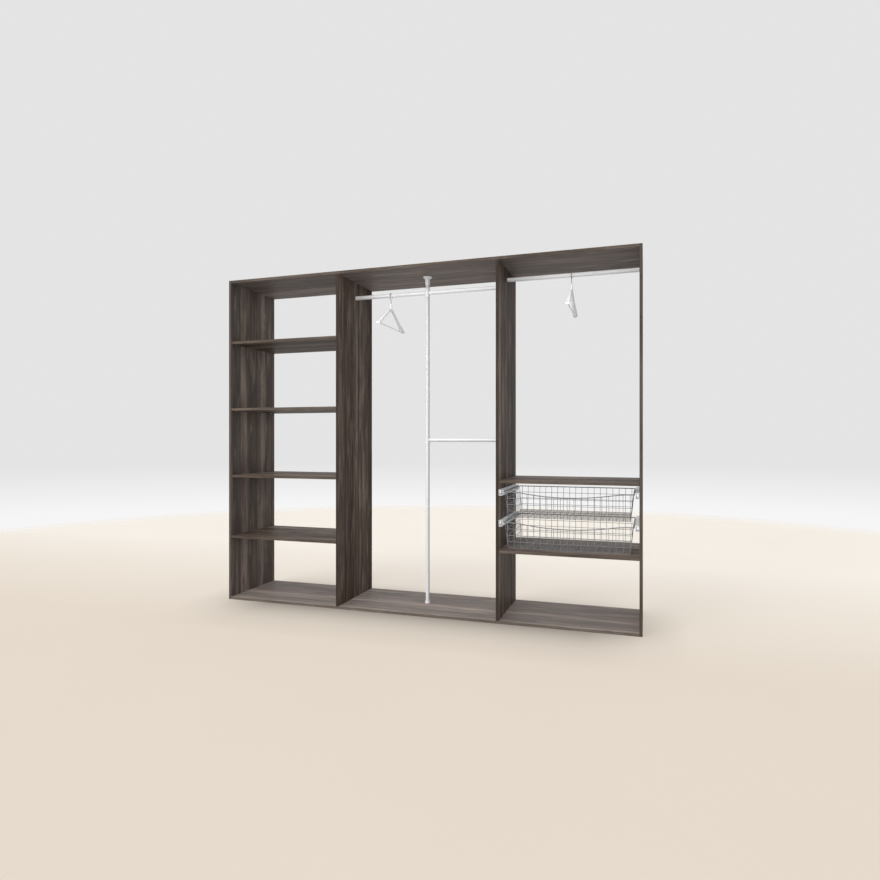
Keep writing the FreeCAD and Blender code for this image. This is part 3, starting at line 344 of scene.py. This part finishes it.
class Finish:
    """Node tree of a material or world, filled through one node-making method."""

    def __init__(self, tree):
        self.tree = tree
        tree.nodes.clear()

    def node(self, kind, settings=None, inputs=None, output=0):
        """Add a node, set it up, fill or link its inputs, and give one of its outputs."""
        made = self.tree.nodes.new(kind)
        for key, value in (settings or {}).items():
            if key == "stops":
                self.ramp_stops(made.color_ramp.elements, value)
            else:
                setattr(made, key, value)
        for key, value in (inputs or {}).items():
            if isinstance(value, Socket):
                self.tree.links.new(value.output, made.inputs[key])
            else:
                made.inputs[key].default_value = value
        return Socket(self, made.outputs[output]) if made.outputs else None

    @staticmethod
    def ramp_stops(elements, stops):
        """Give a colour ramp its stops, each a place and a colour or a grey."""
        while len(elements) < len(stops):
            elements.new(1.0)
        for element, (place, tone) in zip(elements, stops):
            element.position = place
            element.color = (*tone, 1.0) if hasattr(tone, "__len__") else (tone, tone, tone, 1.0)

    def place(self):
        """Object coordinates as three sockets."""
        spot = self.node("ShaderNodeTexCoord", output="Object")
        return [self.node("ShaderNodeSeparateXYZ", inputs={0: spot}, output=axis) for axis in range(3)]

    def cells(self, per_metre):
        """Object coordinates counted in cells, so many to the metre along each axis."""
        return self.vector(*[axis * scale for axis, scale in zip(self.place(), per_metre)])

    def noise(self, vector, detail=2.0, roughness=0.5, distortion=0.0):
        """Soft noise with cells one unit of the vector wide."""
        return self.node("ShaderNodeTexNoise", inputs={
            "Vector": vector, "Scale": 1.0, "Detail": detail, "Roughness": roughness,
            "Distortion": distortion})

    def vector(self, x, y, z):
        """Vector of three values or sockets."""
        return self.node("ShaderNodeCombineXYZ", inputs={0: x, 1: y, 2: z})

    def ramp(self, value, *stops):
        """Colour or grey of a value, by stops."""
        return self.node("ShaderNodeValToRGB", {"stops": stops}, {0: value})

    def blend(self, factor, first, second, mode="MIX"):
        """Mix of two colours."""
        first, second = [(*c, 1.0) if not isinstance(c, Socket) else c for c in (first, second)]
        return self.node("ShaderNodeMix", {"data_type": "RGBA", "blend_type": mode},
                         {0: factor, 6: first, 7: second}, output=2)

    def bump(self, height, depth):
        """Normal of a surface whose height runs from 0 to 1 over a depth."""
        return self.node("ShaderNodeBump", inputs={"Strength": 1.0, "Distance": depth, "Height": height})


def sway(noise, span):
    """Swing of a noise about nothing, over a span."""
    return (noise - NOISE_MEAN) * span


def surface(name, paint):
    """New material whose Principled BSDF takes the inputs that a paint function gives."""
    material = bpy.data.materials.new(name)
    material.use_nodes = True
    finish = Finish(material.node_tree)
    shader = finish.node("ShaderNodeBsdfPrincipled", inputs=paint(finish))
    finish.node("ShaderNodeOutputMaterial", inputs={"Surface": shader})
    return material


def laminate(name, looks, upright, fade, edge_painted_light):
    """Planked wood-grain laminate with its grain upright or lying along X, with painted light: brightened and
    mixed with a pale grey painted sheen by a share.
    """

    def with_painted_light(tones, extent):
        """Paint light on tones: brighten them and mix them with the pale grey painted sheen, to the extent
        given for a board or its edge bands.
        """
        gain, mix = 1 + looks.painted_light_gain * extent, looks.painted_sheen_share * extent
        return [[c * gain + (pale - c * gain) * mix for c, pale in zip(tone, looks.painted_sheen)] for tone in tones]

    # Grain and edge band tones with painted light, by the shares given for the board and for its edge bands
    smoke, bark, mauve, ash, rust, moss = with_painted_light(
        (looks.smoke, looks.bark, looks.mauve, looks.ash, looks.rust, looks.moss), fade)
    edges = (looks.edge, looks.edge_right) if upright else (looks.lip, looks.lip)
    edge, edge_right, edge_dark, edge_pale = with_painted_light((*edges, looks.smoke, looks.mauve), edge_painted_light)

    def paint(finish):
        x, y, z = finish.place()
        along, through = (z, x) if upright else (x, z)
        planks = y * (1 / looks.plank_width) + PLANK_SHIFT
        plank = math.floor(planks)
        board = math.floor(through * BOARD_PITCH)
        apart = plank * PLANK_JUMP + board * BOARD_JUMP + through * DEPTH_JUMP

        def grain(width, run, shift, **kind):
            """Noise drawn out along the grain, with cells of a width and a run, shifted across by cells."""
            cell = finish.vector(y * (1 / width) + shift, along * (1 / run) + apart, apart)
            return finish.noise(cell, **kind)

        bands = grain(looks.band_width, looks.band_length, shift=0.0, detail=3.0, roughness=0.62,
                      distortion=0.30)
        strips = grain(looks.strip_width, looks.strip_length, shift=2.2)
        swirl = grain(looks.ring_width, looks.ring_length, shift=4.6, detail=1.0, roughness=0.4,
                      distortion=0.30)
        streaks = grain(looks.streak_width, looks.streak_length, shift=5.9, detail=3.0, roughness=0.6,
                        distortion=0.15)
        ragged = sway(streaks, STREAK_SWAY)
        patches = ragged + grain(looks.patch_width, looks.patch_length, shift=7.3, distortion=0.20)
        pale_dashes = ragged + grain(looks.pale_dash_width, looks.pale_dash_length, shift=3.1,
                                     distortion=0.20)
        dark_dashes = ragged + grain(looks.dark_dash_width, looks.dark_dash_length, shift=9.4,
                                     distortion=0.20)
        pores = grain(looks.pore_width, looks.pore_length, shift=1.7, roughness=0.6)
        pore = finish.ramp(pores, *PRESSED_PORE)

        own = finish.node("ShaderNodeTexWhiteNoise", {"noise_dimensions": "1D"},
                          {"W": plank + board * BOARD_TONE_STEP})
        figure = bands + sway(strips, STRIP_SWAY) + sway(own, PLANK_SWAY) + ragged
        tone = finish.ramp(figure, *zip(TONE_PLACES, (smoke, bark, mauve, ash)))
        ring = finish.node("ShaderNodeMath", {"operation": "FRACT"}, {0: swirl * looks.ring_count})
        aside = abs(planks - plank - 0.5)
        for value, stops, print_tone in ((ring, LATE_WOOD, smoke), (patches, RUST_PATCH, rust),
                                         (patches, MOSS_PATCH, moss), (pale_dashes, PALE_DASH, ash),
                                         (dark_dashes, DARK_DASH, smoke), (aside, PLANK_SEAM, smoke)):
            tone = finish.blend(finish.ramp(value, *stops), tone, print_tone)

        lines = finish.noise(finish.vector(
            through * (1 / looks.line_width), along * (1 / looks.line_length), apart))
        rightward = finish.ramp(x * (0.5 / HALF_WIDE) + 0.5, *RIGHT_END)
        band = finish.blend(rightward, edge, edge_right)
        for value, stops, print_tone in ((bands, BAND_SHADOW, edge_dark), (lines, DARK_LINE, edge_dark),
                                         (lines, PALE_LINE, edge_pale)):
            band = finish.blend(finish.ramp(value, *stops), band, print_tone)

        facing = finish.node("ShaderNodeTexCoord", output="Normal")
        frontward = abs(finish.node("ShaderNodeSeparateXYZ", inputs={0: facing}, output=1))
        tone = finish.blend(finish.ramp(frontward, *EDGE_FACING), tone, band)
        tone = finish.blend(pore * PORE_SHADE, tone, smoke)
        return {
            "Base Color": tone,
            "Roughness": looks.roughness + sway(streaks, STREAK_GLOSS) + pore * PORE_DULLING,
            "Specular IOR Level": LAMINATE_MIRROR,
            "Normal": finish.bump(1.0 - pore, looks.pore_depth),
        }

    return surface(name, paint)


def darker(tone, factor):
    """A tone with each channel times a factor."""
    return [channel * factor for channel in tone]


def coated(name, tone, looks, roughness, metallic=0.0, coat=0.0, peel=1.0):
    """Coated or moulded surface with soft ripples and faint changes of tone."""

    def paint(finish):
        ripple = finish.noise(finish.cells([1 / looks.peel_size] * 3))
        cloud = finish.noise(finish.cells(COAT_CLOUDS), detail=3.0, roughness=0.6)
        return {
            "Base Color": finish.blend(finish.ramp(cloud, *COAT_WORN), tone, darker(tone, COAT_WORN_TONE)),
            "Roughness": roughness + sway(ripple, RIPPLE_GLOSS) + sway(cloud, CLOUD_GLOSS),
            "Metallic": metallic,
            "Coat Weight": coat,
            "Normal": finish.bump(ripple, looks.peel_depth * peel),
        }

    return surface(name, paint)


def drawn_steel(name, tone, looks, roughness):
    """Plated or drawn steel with fine scratches."""

    def paint(finish):
        scratch = finish.noise(finish.cells(STEEL_SCRATCHES), detail=3.0, roughness=0.7)
        cloud = finish.noise(finish.cells(STEEL_CLOUDS))
        return {
            "Base Color": finish.blend(finish.ramp(cloud, *STEEL_DULL), tone, darker(tone, STEEL_DULL_TONE)),
            "Roughness": roughness + sway(scratch, SCRATCH_GLOSS),
            "Metallic": 1.0,
            "Normal": finish.bump(scratch, looks.peel_depth),
        }

    return surface(name, paint)


def beech(name, tone):
    """Plain beech of the dowels, with short dark flecks."""

    def paint(finish):
        fleck = finish.noise(finish.cells(BEECH_FLECKS), detail=3.0, roughness=0.6)
        return {
            "Base Color": finish.blend(finish.ramp(fleck, *FLECK), tone, darker(tone, FLECK_TONE)),
            "Roughness": BEECH_ROUGHNESS + sway(fleck, FLECK_GLOSS),
        }

    return surface(name, paint)


def dress(names, material):
    """Give nodes of the frame one material."""
    for name in names:
        mesh = frame["nodes"][name].data
        mesh.materials.clear()
        mesh.materials.append(material)


class BentWire:
    """Round wire drawn out of a ring of edges, run by run and bend by bend."""

    def __init__(self, bm, start, heading, diameter, sides):
        self.bm = bm
        self.at = Vector(start)
        self.heading = Vector(heading).normalized()
        turn = Z_AXIS.rotation_difference(self.heading).to_matrix().to_4x4()
        made = bmesh.ops.create_circle(bm, cap_ends=False, segments=sides, radius=diameter / 2,
                                       matrix=Matrix.Translation(self.at) @ turn)
        self.first = list({edge for vert in made["verts"] for edge in vert.link_edges})
        self.ring = self.first

    def run(self, distance):
        """Draw a straight run."""
        step = self.heading * distance
        drawn = bmesh.ops.extrude_edge_only(self.bm, edges=self.ring)["geom"]
        bmesh.ops.translate(self.bm, verts=[g for g in drawn if isinstance(g, bmesh.types.BMVert)], vec=step)
        self.ring = [g for g in drawn if isinstance(g, bmesh.types.BMEdge) and all(
            v in drawn for v in g.verts)]
        self.at += step
        return self

    def bend(self, axis, radius, angle, steps):
        """Bend by an angle about an axis, to the left of the heading when the angle is positive."""
        side = Vector(axis).cross(self.heading).normalized()
        centre = self.at + side * math.copysign(radius, angle)
        spun = bmesh.ops.spin(self.bm, geom=self.ring, cent=centre, axis=axis, angle=angle, steps=steps,
                              use_merge=False, use_duplicate=False)["geom_last"]
        self.ring = [g for g in spun if isinstance(g, bmesh.types.BMEdge)]
        turn = Matrix.Rotation(angle, 3, axis)
        self.at = centre + turn @ (self.at - centre)
        self.heading = turn @ self.heading
        return self

    def close(self):
        """Join the last ring to the first."""
        ends = {v for edge in self.first + self.ring for v in edge.verts}
        bmesh.ops.remove_doubles(self.bm, verts=list(ends), dist=JOINED)

    def cap(self):
        """Fill both ends."""
        for ring in (self.first, self.ring):
            bmesh.ops.edgeloop_fill(self.bm, edges=ring)


class BasketForm:
    """Places of one basket's wires, worked out from its nodes in the frame."""

    def __init__(self, name, sizes):
        front, back, left, right, floor = [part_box(f"{name}_{wall}_net") for wall in WALLS]
        rim_radius = sizes.rim_diameter / 2
        self.wire = sizes.wire_diameter
        self.layer = self.wire - sizes.weld
        self.middle = (left[0].x + right[1].x) / 2
        self.rim_wide = (right[1].x - left[0].x) / 2 - rim_radius
        self.rim_deep = (back[1].y - front[0].y) / 2 - rim_radius
        self.depth_middle = (back[1].y + front[0].y) / 2
        self.rim_z = left[1].z - rim_radius
        self.floor_z = (floor[0].z + floor[1].z) / 2
        off_rim = rim_radius + self.wire / 2 - sizes.weld
        self.wide, self.deep = self.rim_wide - off_rim, self.rim_deep - off_rim
        self.height = self.rim_z - self.floor_z
        self.taper = self.wide - (floor[1].x - floor[0].x) / 2 - self.wire / 2
        self.lean = math.atan2(self.taper, self.height)
        self.scoop_half = self.rim_wide - sizes.rim_corner
        self.scoop = sizes.scoop
        self.shoulder = sizes.shoulder

    def lean_in(self, z):
        """How far a wall has leaned in at a height."""
        return self.taper * (self.rim_z - z) / self.height

    def dip(self, x):
        """How far the front rim dips at a distance from the basket's middle."""
        half = self.scoop_half
        away = max(half - abs(x), 0)
        if away < half * self.shoulder:
            return self.scoop * self.shoulder * (away / (half * self.shoulder)) ** 2
        level = 1 - self.shoulder
        return self.scoop * (1 - level * (x / (half * level)) ** 2)


def bent_up_wire(bm, form, sizes, spot, outward, reach, floor_z, tops):
    """U-shaped wire: down one leaning wall, across the floor and up the other wall to their tops."""
    across = Vector(outward)
    axis = across.cross(Z_AXIS)
    turn = RIGHT_ANGLE - form.lean
    trim = sizes.wire_bend * math.tan(turn / 2)
    slope = math.cos(form.lean)
    start = spot + across * (reach - form.lean_in(tops[0])) + Z_AXIS * tops[0]
    low = reach - form.lean_in(floor_z)
    wire = BentWire(bm, start, -across * math.sin(form.lean) - Z_AXIS * slope, form.wire, sizes.sides)
    wire.run((tops[0] - floor_z) / slope - trim)
    wire.bend(axis, sizes.wire_bend, -turn, sizes.steps)
    wire.run(2 * low - 2 * trim)
    wire.bend(axis, sizes.wire_bend, -turn, sizes.steps)
    wire.run((tops[1] - floor_z) / slope - trim)
    wire.cap()


def ring_wire(bm, form, sizes, z):
    """Wire round the inside of the four walls at a height."""
    corner = sizes.rim_corner
    wide = form.wide - form.lean_in(z) - form.layer
    deep = form.deep - form.lean_in(z) - form.layer
    start = (form.middle - wide + corner, form.depth_middle - deep, z)
    wire = BentWire(bm, start, X_AXIS, form.wire, sizes.sides)
    for half in (wide, deep, wide, deep):
        wire.run(2 * (half - corner)).bend(Z_AXIS, corner, RIGHT_ANGLE, sizes.steps)
    wire.close()


def rim_bar(bm, form, sizes):
    """Rim round the basket with rounded corners and a scooped front."""
    corner = sizes.rim_corner
    half, level = form.scoop_half, 1 - form.shoulder
    swing = 2 * math.atan(form.scoop / half)
    start = (form.middle - half, form.depth_middle - form.rim_deep, form.rim_z)
    bar = BentWire(bm, start, X_AXIS, sizes.rim_diameter, 2 * sizes.sides)
    shoulder_radius = half * form.shoulder / math.sin(swing)
    dip_radius = half * level / math.sin(swing)
    bar.bend(Y_AXIS, shoulder_radius, swing, 2 * sizes.steps)
    bar.bend(Y_AXIS, dip_radius, -2 * swing, 4 * sizes.steps)
    bar.bend(Y_AXIS, shoulder_radius, swing, 2 * sizes.steps)
    bar.bend(Z_AXIS, corner, RIGHT_ANGLE, sizes.steps)
    for run in (form.rim_deep, form.rim_wide, form.rim_deep):
        bar.run(2 * (run - corner)).bend(Z_AXIS, corner, RIGHT_ANGLE, sizes.steps)
    bar.close()


def basket_mesh(name, sizes):
    """Mesh of one basket: rim, wires both ways and rings."""
    form = BasketForm(name, sizes)
    bm = bmesh.new()
    rim_bar(bm, form, sizes)
    floor_half_wide = form.wide - form.taper
    floor_half_deep = form.deep - form.taper
    top = form.rim_z
    for i in range(sizes.across + 1):
        x = floor_half_wide * (2 * i / sizes.across - 1)
        spot = Vector((form.middle + x, form.depth_middle, 0))
        bent_up_wire(bm, form, sizes, spot, -Y_AXIS, form.deep, form.floor_z, (top - form.dip(x), top))
    for i in range(sizes.deep + 1):
        y = floor_half_deep * (2 * i / sizes.deep - 1)
        spot = Vector((form.middle, form.depth_middle + y, 0))
        bent_up_wire(bm, form, sizes, spot, -X_AXIS, form.wide, form.floor_z + form.layer, (top, top))
    for i in range(1, sizes.up):
        ring_wire(bm, form, sizes, form.floor_z + form.height * i / sizes.up)
    bmesh.ops.recalc_face_normals(bm, faces=bm.faces)
    for face in bm.faces:
        face.smooth = True
    mesh = bpy.data.meshes.new(name + "_wires")
    bm.to_mesh(mesh)
    bm.free()
    return mesh


class CLOSET_OT_boards(bpy.types.Operator):
    """Face the boards with wood-grain laminate, upright on the uprights and lying on the rest"""
    bl_idname = "closet.boards"
    bl_label = "Face the boards"

    def execute(self, context):
        looks = context.scene.closet_laminate
        # Painted light: shares by which each board and its edge bands are painted brighter and paler; other
        # lying boards take the shelves' share and other uprights none
        painted_light_shares = {"left_side_panel": (looks.side_painted_light, looks.side_edge_painted_light),
                 "top_panel": (looks.top_painted_light, 0.0),
                 "bottom_panel": (looks.bottom_painted_light, looks.bottom_edge_painted_light),
                 "left_bay_shelf_4": (0.0, 0.0),
                 "right_bay_shelf_lower": (looks.low_shelf_painted_light, looks.low_shelf_edge_painted_light)}
        for board in nodes_of("board_laminate"):
            upright = board in UPRIGHTS
            fade, edge_painted_light = painted_light_shares.get(board, (0.0 if upright else looks.shelf_painted_light, 0.0))
            dress([board], laminate("laminate_" + board, looks, upright, fade, edge_painted_light))
        return {"FINISHED"}


class CLOSET_OT_rails(bpy.types.Operator):
    """Coat the rails and the post, and finish their fittings, in painted lit and shaded copies of one white
    """
    bl_idname = "closet.rails"
    bl_label = "Coat the rails and the post"

    def execute(self, context):
        looks = context.scene.closet_coating
        # Painted light: the post and half-height rail take a greyer copy of the white, the rails under the
        # top panel a whiter one, and the tee collar and foot a greyer copy of the fittings' white
        tube = coated("tube_coating", looks.tube_white, looks, roughness=0.34, coat=0.3)
        rail = coated("rail_coating", looks.rail_painted_lit_white, looks, roughness=0.34, coat=0.3)
        fitting = coated("fitting_plastic", looks.fitting_white, looks, roughness=0.42)
        low_fitting = coated("low_fitting_plastic", looks.low_fitting_painted_shade_white, looks, roughness=0.42)
        dress(nodes_of("tube_white"), tube)
        dress(HIGH_RAILS, rail)
        dress(nodes_of("fitting_white"), fitting)
        dress(LOW_FITTINGS, low_fitting)
        return {"FINISHED"}


class CLOSET_OT_baskets(bpy.types.Operator):
    """Bend the wires of the sliding baskets in place of their flat nets"""
    bl_idname = "closet.baskets"
    bl_label = "Bend the basket wires"

    def execute(self, context):
        looks = context.scene.closet_coating
        sizes = context.scene.closet_basket
        coating = coated("wire_coating", looks.wire_grey, looks, roughness=0.34, metallic=0.5)
        for name in BASKETS:
            mesh = basket_mesh(name, sizes)
            mesh.materials.append(coating)
            wires = bpy.data.objects.new(name + "_wires", mesh)
            context.scene.collection.objects.link(wires)
            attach(wires, name)
            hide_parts(*[f"{name}_{wall}_net" for wall in WALLS])
        return {"FINISHED"}


class CLOSET_OT_runners(bpy.types.Operator):
    """Coat the runners and finish their rollers"""
    bl_idname = "closet.runners"
    bl_label = "Coat the runners"

    def execute(self, context):
        looks = context.scene.closet_coating
        dress(nodes_of("runner_coated"),
              coated("runner_coating", looks.runner_grey, looks, roughness=0.40, coat=0.15))
        dress(nodes_of("roller_nylon"), coated("roller_nylon", looks.roller_white, looks, roughness=0.48))
        return {"FINISHED"}


class CLOSET_OT_hangers(bpy.types.Operator):
    """Finish the hangers' hooks and shoulders"""
    bl_idname = "closet.hangers"
    bl_label = "Finish the hangers"

    def execute(self, context):
        looks = context.scene.closet_coating
        dress(nodes_of("hanger_white"),
              coated("hanger_plastic", looks.hanger_white, looks, roughness=0.30, coat=0.2, peel=0.2))
        dress(nodes_of("hook_steel"), drawn_steel("hook_wire", looks.hook_steel, looks, roughness=0.32))
        return {"FINISHED"}


class CLOSET_OT_fasteners(bpy.types.Operator):
    """Finish the screws, shelf pins and dowels"""
    bl_idname = "closet.fasteners"
    bl_label = "Finish the fasteners"

    def execute(self, context):
        looks = context.scene.closet_coating
        dress(nodes_of("screw_steel"), drawn_steel("screw_plating", looks.screw_steel, looks, roughness=0.36))
        dress(nodes_of("dowel_wood"), beech("dowel_beech", looks.dowel_beech))
        return {"FINISHED"}


def looked_at(finish):
    """1 for what the camera sees, also in a mirror or through glass, and 0 for light that only bounces."""
    camera, glossy, through = [finish.node("ShaderNodeLightPath", output=f"Is {kind} Ray")
                               for kind in ("Camera", "Glossy", "Transmission")]
    either = finish.node("ShaderNodeMath", {"operation": "MAXIMUM"}, {0: camera, 1: glossy})
    return finish.node("ShaderNodeMath", {"operation": "MAXIMUM"}, {0: either, 1: through})


def foot_shade(finish, x, y, looks):
    """Grey of the soft shade at the closet's foot, deepest along its front."""
    ahead = finish.ramp((abs(y) - HALF_DEEP) * (1 / looks.shade_reach), *SHADE_AHEAD)
    beside = finish.ramp((abs(x) - HALF_WIDE) * (1 / looks.shade_reach) + 0.5, *SHADE_BESIDE)
    behind = finish.ramp(y + 0.5, *SHADE_BEHIND)
    return 1.0 - ahead * beside * behind * looks.shade


def floor_material(looks):
    """Pale floor with the closet's soft shade, which fades into the backdrop at its rim."""
    material = bpy.data.materials.new("stage_floor")
    material.use_nodes = True
    finish = Finish(material.node_tree)
    x, y, z = finish.place()
    reach = finish.node("ShaderNodeVectorMath", {"operation": "LENGTH"},
                        {0: finish.vector(x, y, 0.0)}, output=1)
    fade = finish.ramp(reach * (1 / looks.floor_radius), *FLOOR_RIM)
    cloud = finish.noise(finish.vector(x * FLOOR_CLOUDS, y * FLOOR_CLOUDS, z), detail=3.0)
    away = finish.ramp(y * (1 / FLOOR_SPAN) + 0.5, *FLOOR_AWAY)
    tone = finish.blend(away, looks.floor, looks.floor_far)
    tone = finish.blend(cloud * FLOOR_CLOUD_SHARE, tone, FLOOR_CLOUD_TONE)
    tone = finish.blend(1.0, tone, foot_shade(finish, x, y, looks), "MULTIPLY")
    seen = looked_at(finish)
    lit = finish.blend(seen, looks.floor_bounce, tone)
    paint = finish.node("ShaderNodeBsdfPrincipled", inputs={
        "Base Color": lit, "Roughness": FLOOR_ROUGHNESS, "Specular IOR Level": FLOOR_MIRROR})
    glow = finish.node("ShaderNodeEmission", inputs={"Color": tone, "Strength": 1.0})
    shown = finish.node("ShaderNodeMixShader", inputs={0: seen * looks.floor_glow, 1: paint, 2: glow})
    clear = finish.node("ShaderNodeBsdfTransparent")
    shader = finish.node("ShaderNodeMixShader", inputs={0: fade, 1: shown, 2: clear})
    finish.node("ShaderNodeOutputMaterial", inputs={"Surface": shader})
    return material


def backdrop_world(looks):
    """World that lights from all round and shows the camera a plain pale grey, paler towards the floor."""
    world = bpy.data.worlds.new("stage_world")
    world.use_nodes = True
    finish = Finish(world.node_tree)
    direction = finish.node("ShaderNodeTexCoord", output="Generated")
    up = finish.node("ShaderNodeSeparateXYZ", inputs={0: direction}, output=2)
    shown = finish.ramp(up * 2.0 + 0.5, (HORIZON_LOW, HORIZON), (HORIZON_HIGH, tuple(looks.backdrop)))
    walls = finish.ramp(abs(up), (WALL_TOP, 1.0), (CEILING_EDGE, looks.ceiling_share))
    light = finish.node("ShaderNodeBackground", inputs={"Color": walls, "Strength": looks.room_light})
    back = finish.node("ShaderNodeBackground", inputs={"Color": shown, "Strength": 1.0})
    shader = finish.node("ShaderNodeMixShader", inputs={0: looked_at(finish), 1: light, 2: back})
    finish.node("ShaderNodeOutputWorld", inputs={"Surface": shader})
    return world


class CLOSET_OT_stage(bpy.types.Operator):
    """Set the floor, the soft light and the camera"""
    bl_idname = "closet.stage"
    bl_label = "Set the stage"

    @staticmethod
    def lay_floor(scene, looks):
        """Lay the round floor."""
        bm = bmesh.new()
        bmesh.ops.create_circle(bm, cap_ends=True, segments=FLOOR_CORNERS, radius=looks.floor_radius)
        mesh = bpy.data.meshes.new("stage_floor")
        bm.to_mesh(mesh)
        bm.free()
        mesh.materials.append(floor_material(looks))
        floor = bpy.data.objects.new("stage_floor", mesh)
        scene.collection.objects.link(floor)

    @staticmethod
    def hang_lamp(scene, looks):
        """Hang the wide lamp over the closet."""
        lamp = bpy.data.lights.new("overhead_lamp", "AREA")
        lamp.shape = "RECTANGLE"
        lamp.size, lamp.size_y = LAMP_SIZE, LAMP_SIZE
        lamp.energy = looks.lamp_power
        overhead = bpy.data.objects.new("overhead_lamp", lamp)
        overhead.location = (0, 0, LAMP_HEIGHT)
        scene.collection.objects.link(overhead)

    @staticmethod
    def add_far_light(scene, name, strength, spread, turn, shadow):
        """Add a soft distant light, with its spread and its turn in degrees."""
        sun = bpy.data.lights.new(name, "SUN")
        sun.energy = strength
        sun.angle = math.radians(spread)
        sun.use_shadow = shadow
        light = bpy.data.objects.new(name, sun)
        light.rotation_euler = [math.radians(angle) for angle in turn]
        scene.collection.objects.link(light)

    @staticmethod
    def set_camera(scene, looks):
        """Stand the level camera at the photograph's eye."""
        data = bpy.data.cameras.new("camera")
        data.lens = looks.lens
        data.sensor_width = SENSOR_WIDTH
        data.shift_y = looks.rise
        camera = bpy.data.objects.new("camera", data)
        camera.location = looks.eye
        camera.rotation_euler = (RIGHT_ANGLE, 0, looks.heading)
        scene.collection.objects.link(camera)
        scene.camera = camera

    def execute(self, context):
        scene = context.scene
        looks = scene.closet_stage
        self.lay_floor(scene, looks)
        scene.world = backdrop_world(looks)
        self.hang_lamp(scene, looks)
        for name, spread, turn, shadow in FAR_LIGHTS:
            self.add_far_light(scene, name, getattr(looks, name), spread, turn, shadow)
        self.set_camera(scene, looks)
        scene.view_settings.view_transform = "Standard"
        return {"FINISHED"}


STEPS = (CLOSET_OT_boards, CLOSET_OT_rails, CLOSET_OT_baskets, CLOSET_OT_runners, CLOSET_OT_hangers,
         CLOSET_OT_fasteners, CLOSET_OT_stage)
SETTINGS = {
    "closet_laminate": LaminateSettings,
    "closet_coating": CoatingSettings,
    "closet_basket": BasketSettings,
    "closet_stage": StageSettings,
}


class CLOSET_PT_panel(bpy.types.Panel):
    """Steps and settings of the closet in the 3D view's sidebar"""
    bl_idname = "CLOSET_PT_panel"
    bl_label = "Closet System"
    bl_space_type = "VIEW_3D"
    bl_region_type = "UI"
    bl_category = "Closet"

    def draw(self, context):
        for step in STEPS:
            self.layout.operator(step.bl_idname)
        for name, group in SETTINGS.items():
            box = self.layout.box()
            box.label(text=group.__doc__)
            for key in group.__annotations__:
                box.prop(getattr(context.scene, name), key)


CLASSES = (*SETTINGS.values(), *STEPS, CLOSET_PT_panel)


def register():
    """Add the classes and their settings to Blender."""
    for kind in CLASSES:
        bpy.utils.register_class(kind)
    for name, group in SETTINGS.items():
        setattr(bpy.types.Scene, name, PointerProperty(type=group))


def unregister():
    """Take the classes and their settings out of Blender."""
    for name in SETTINGS:
        delattr(bpy.types.Scene, name)
    for kind in reversed(CLASSES):
        bpy.utils.unregister_class(kind)


def main():
    """Dress the closet step by step."""
    register()
    bpy.ops.closet.boards()
    bpy.ops.closet.rails()
    bpy.ops.closet.baskets()
    bpy.ops.closet.runners()
    bpy.ops.closet.hangers()
    bpy.ops.closet.fasteners()
    bpy.ops.closet.stage()


if __name__ == "__main__":
    main()
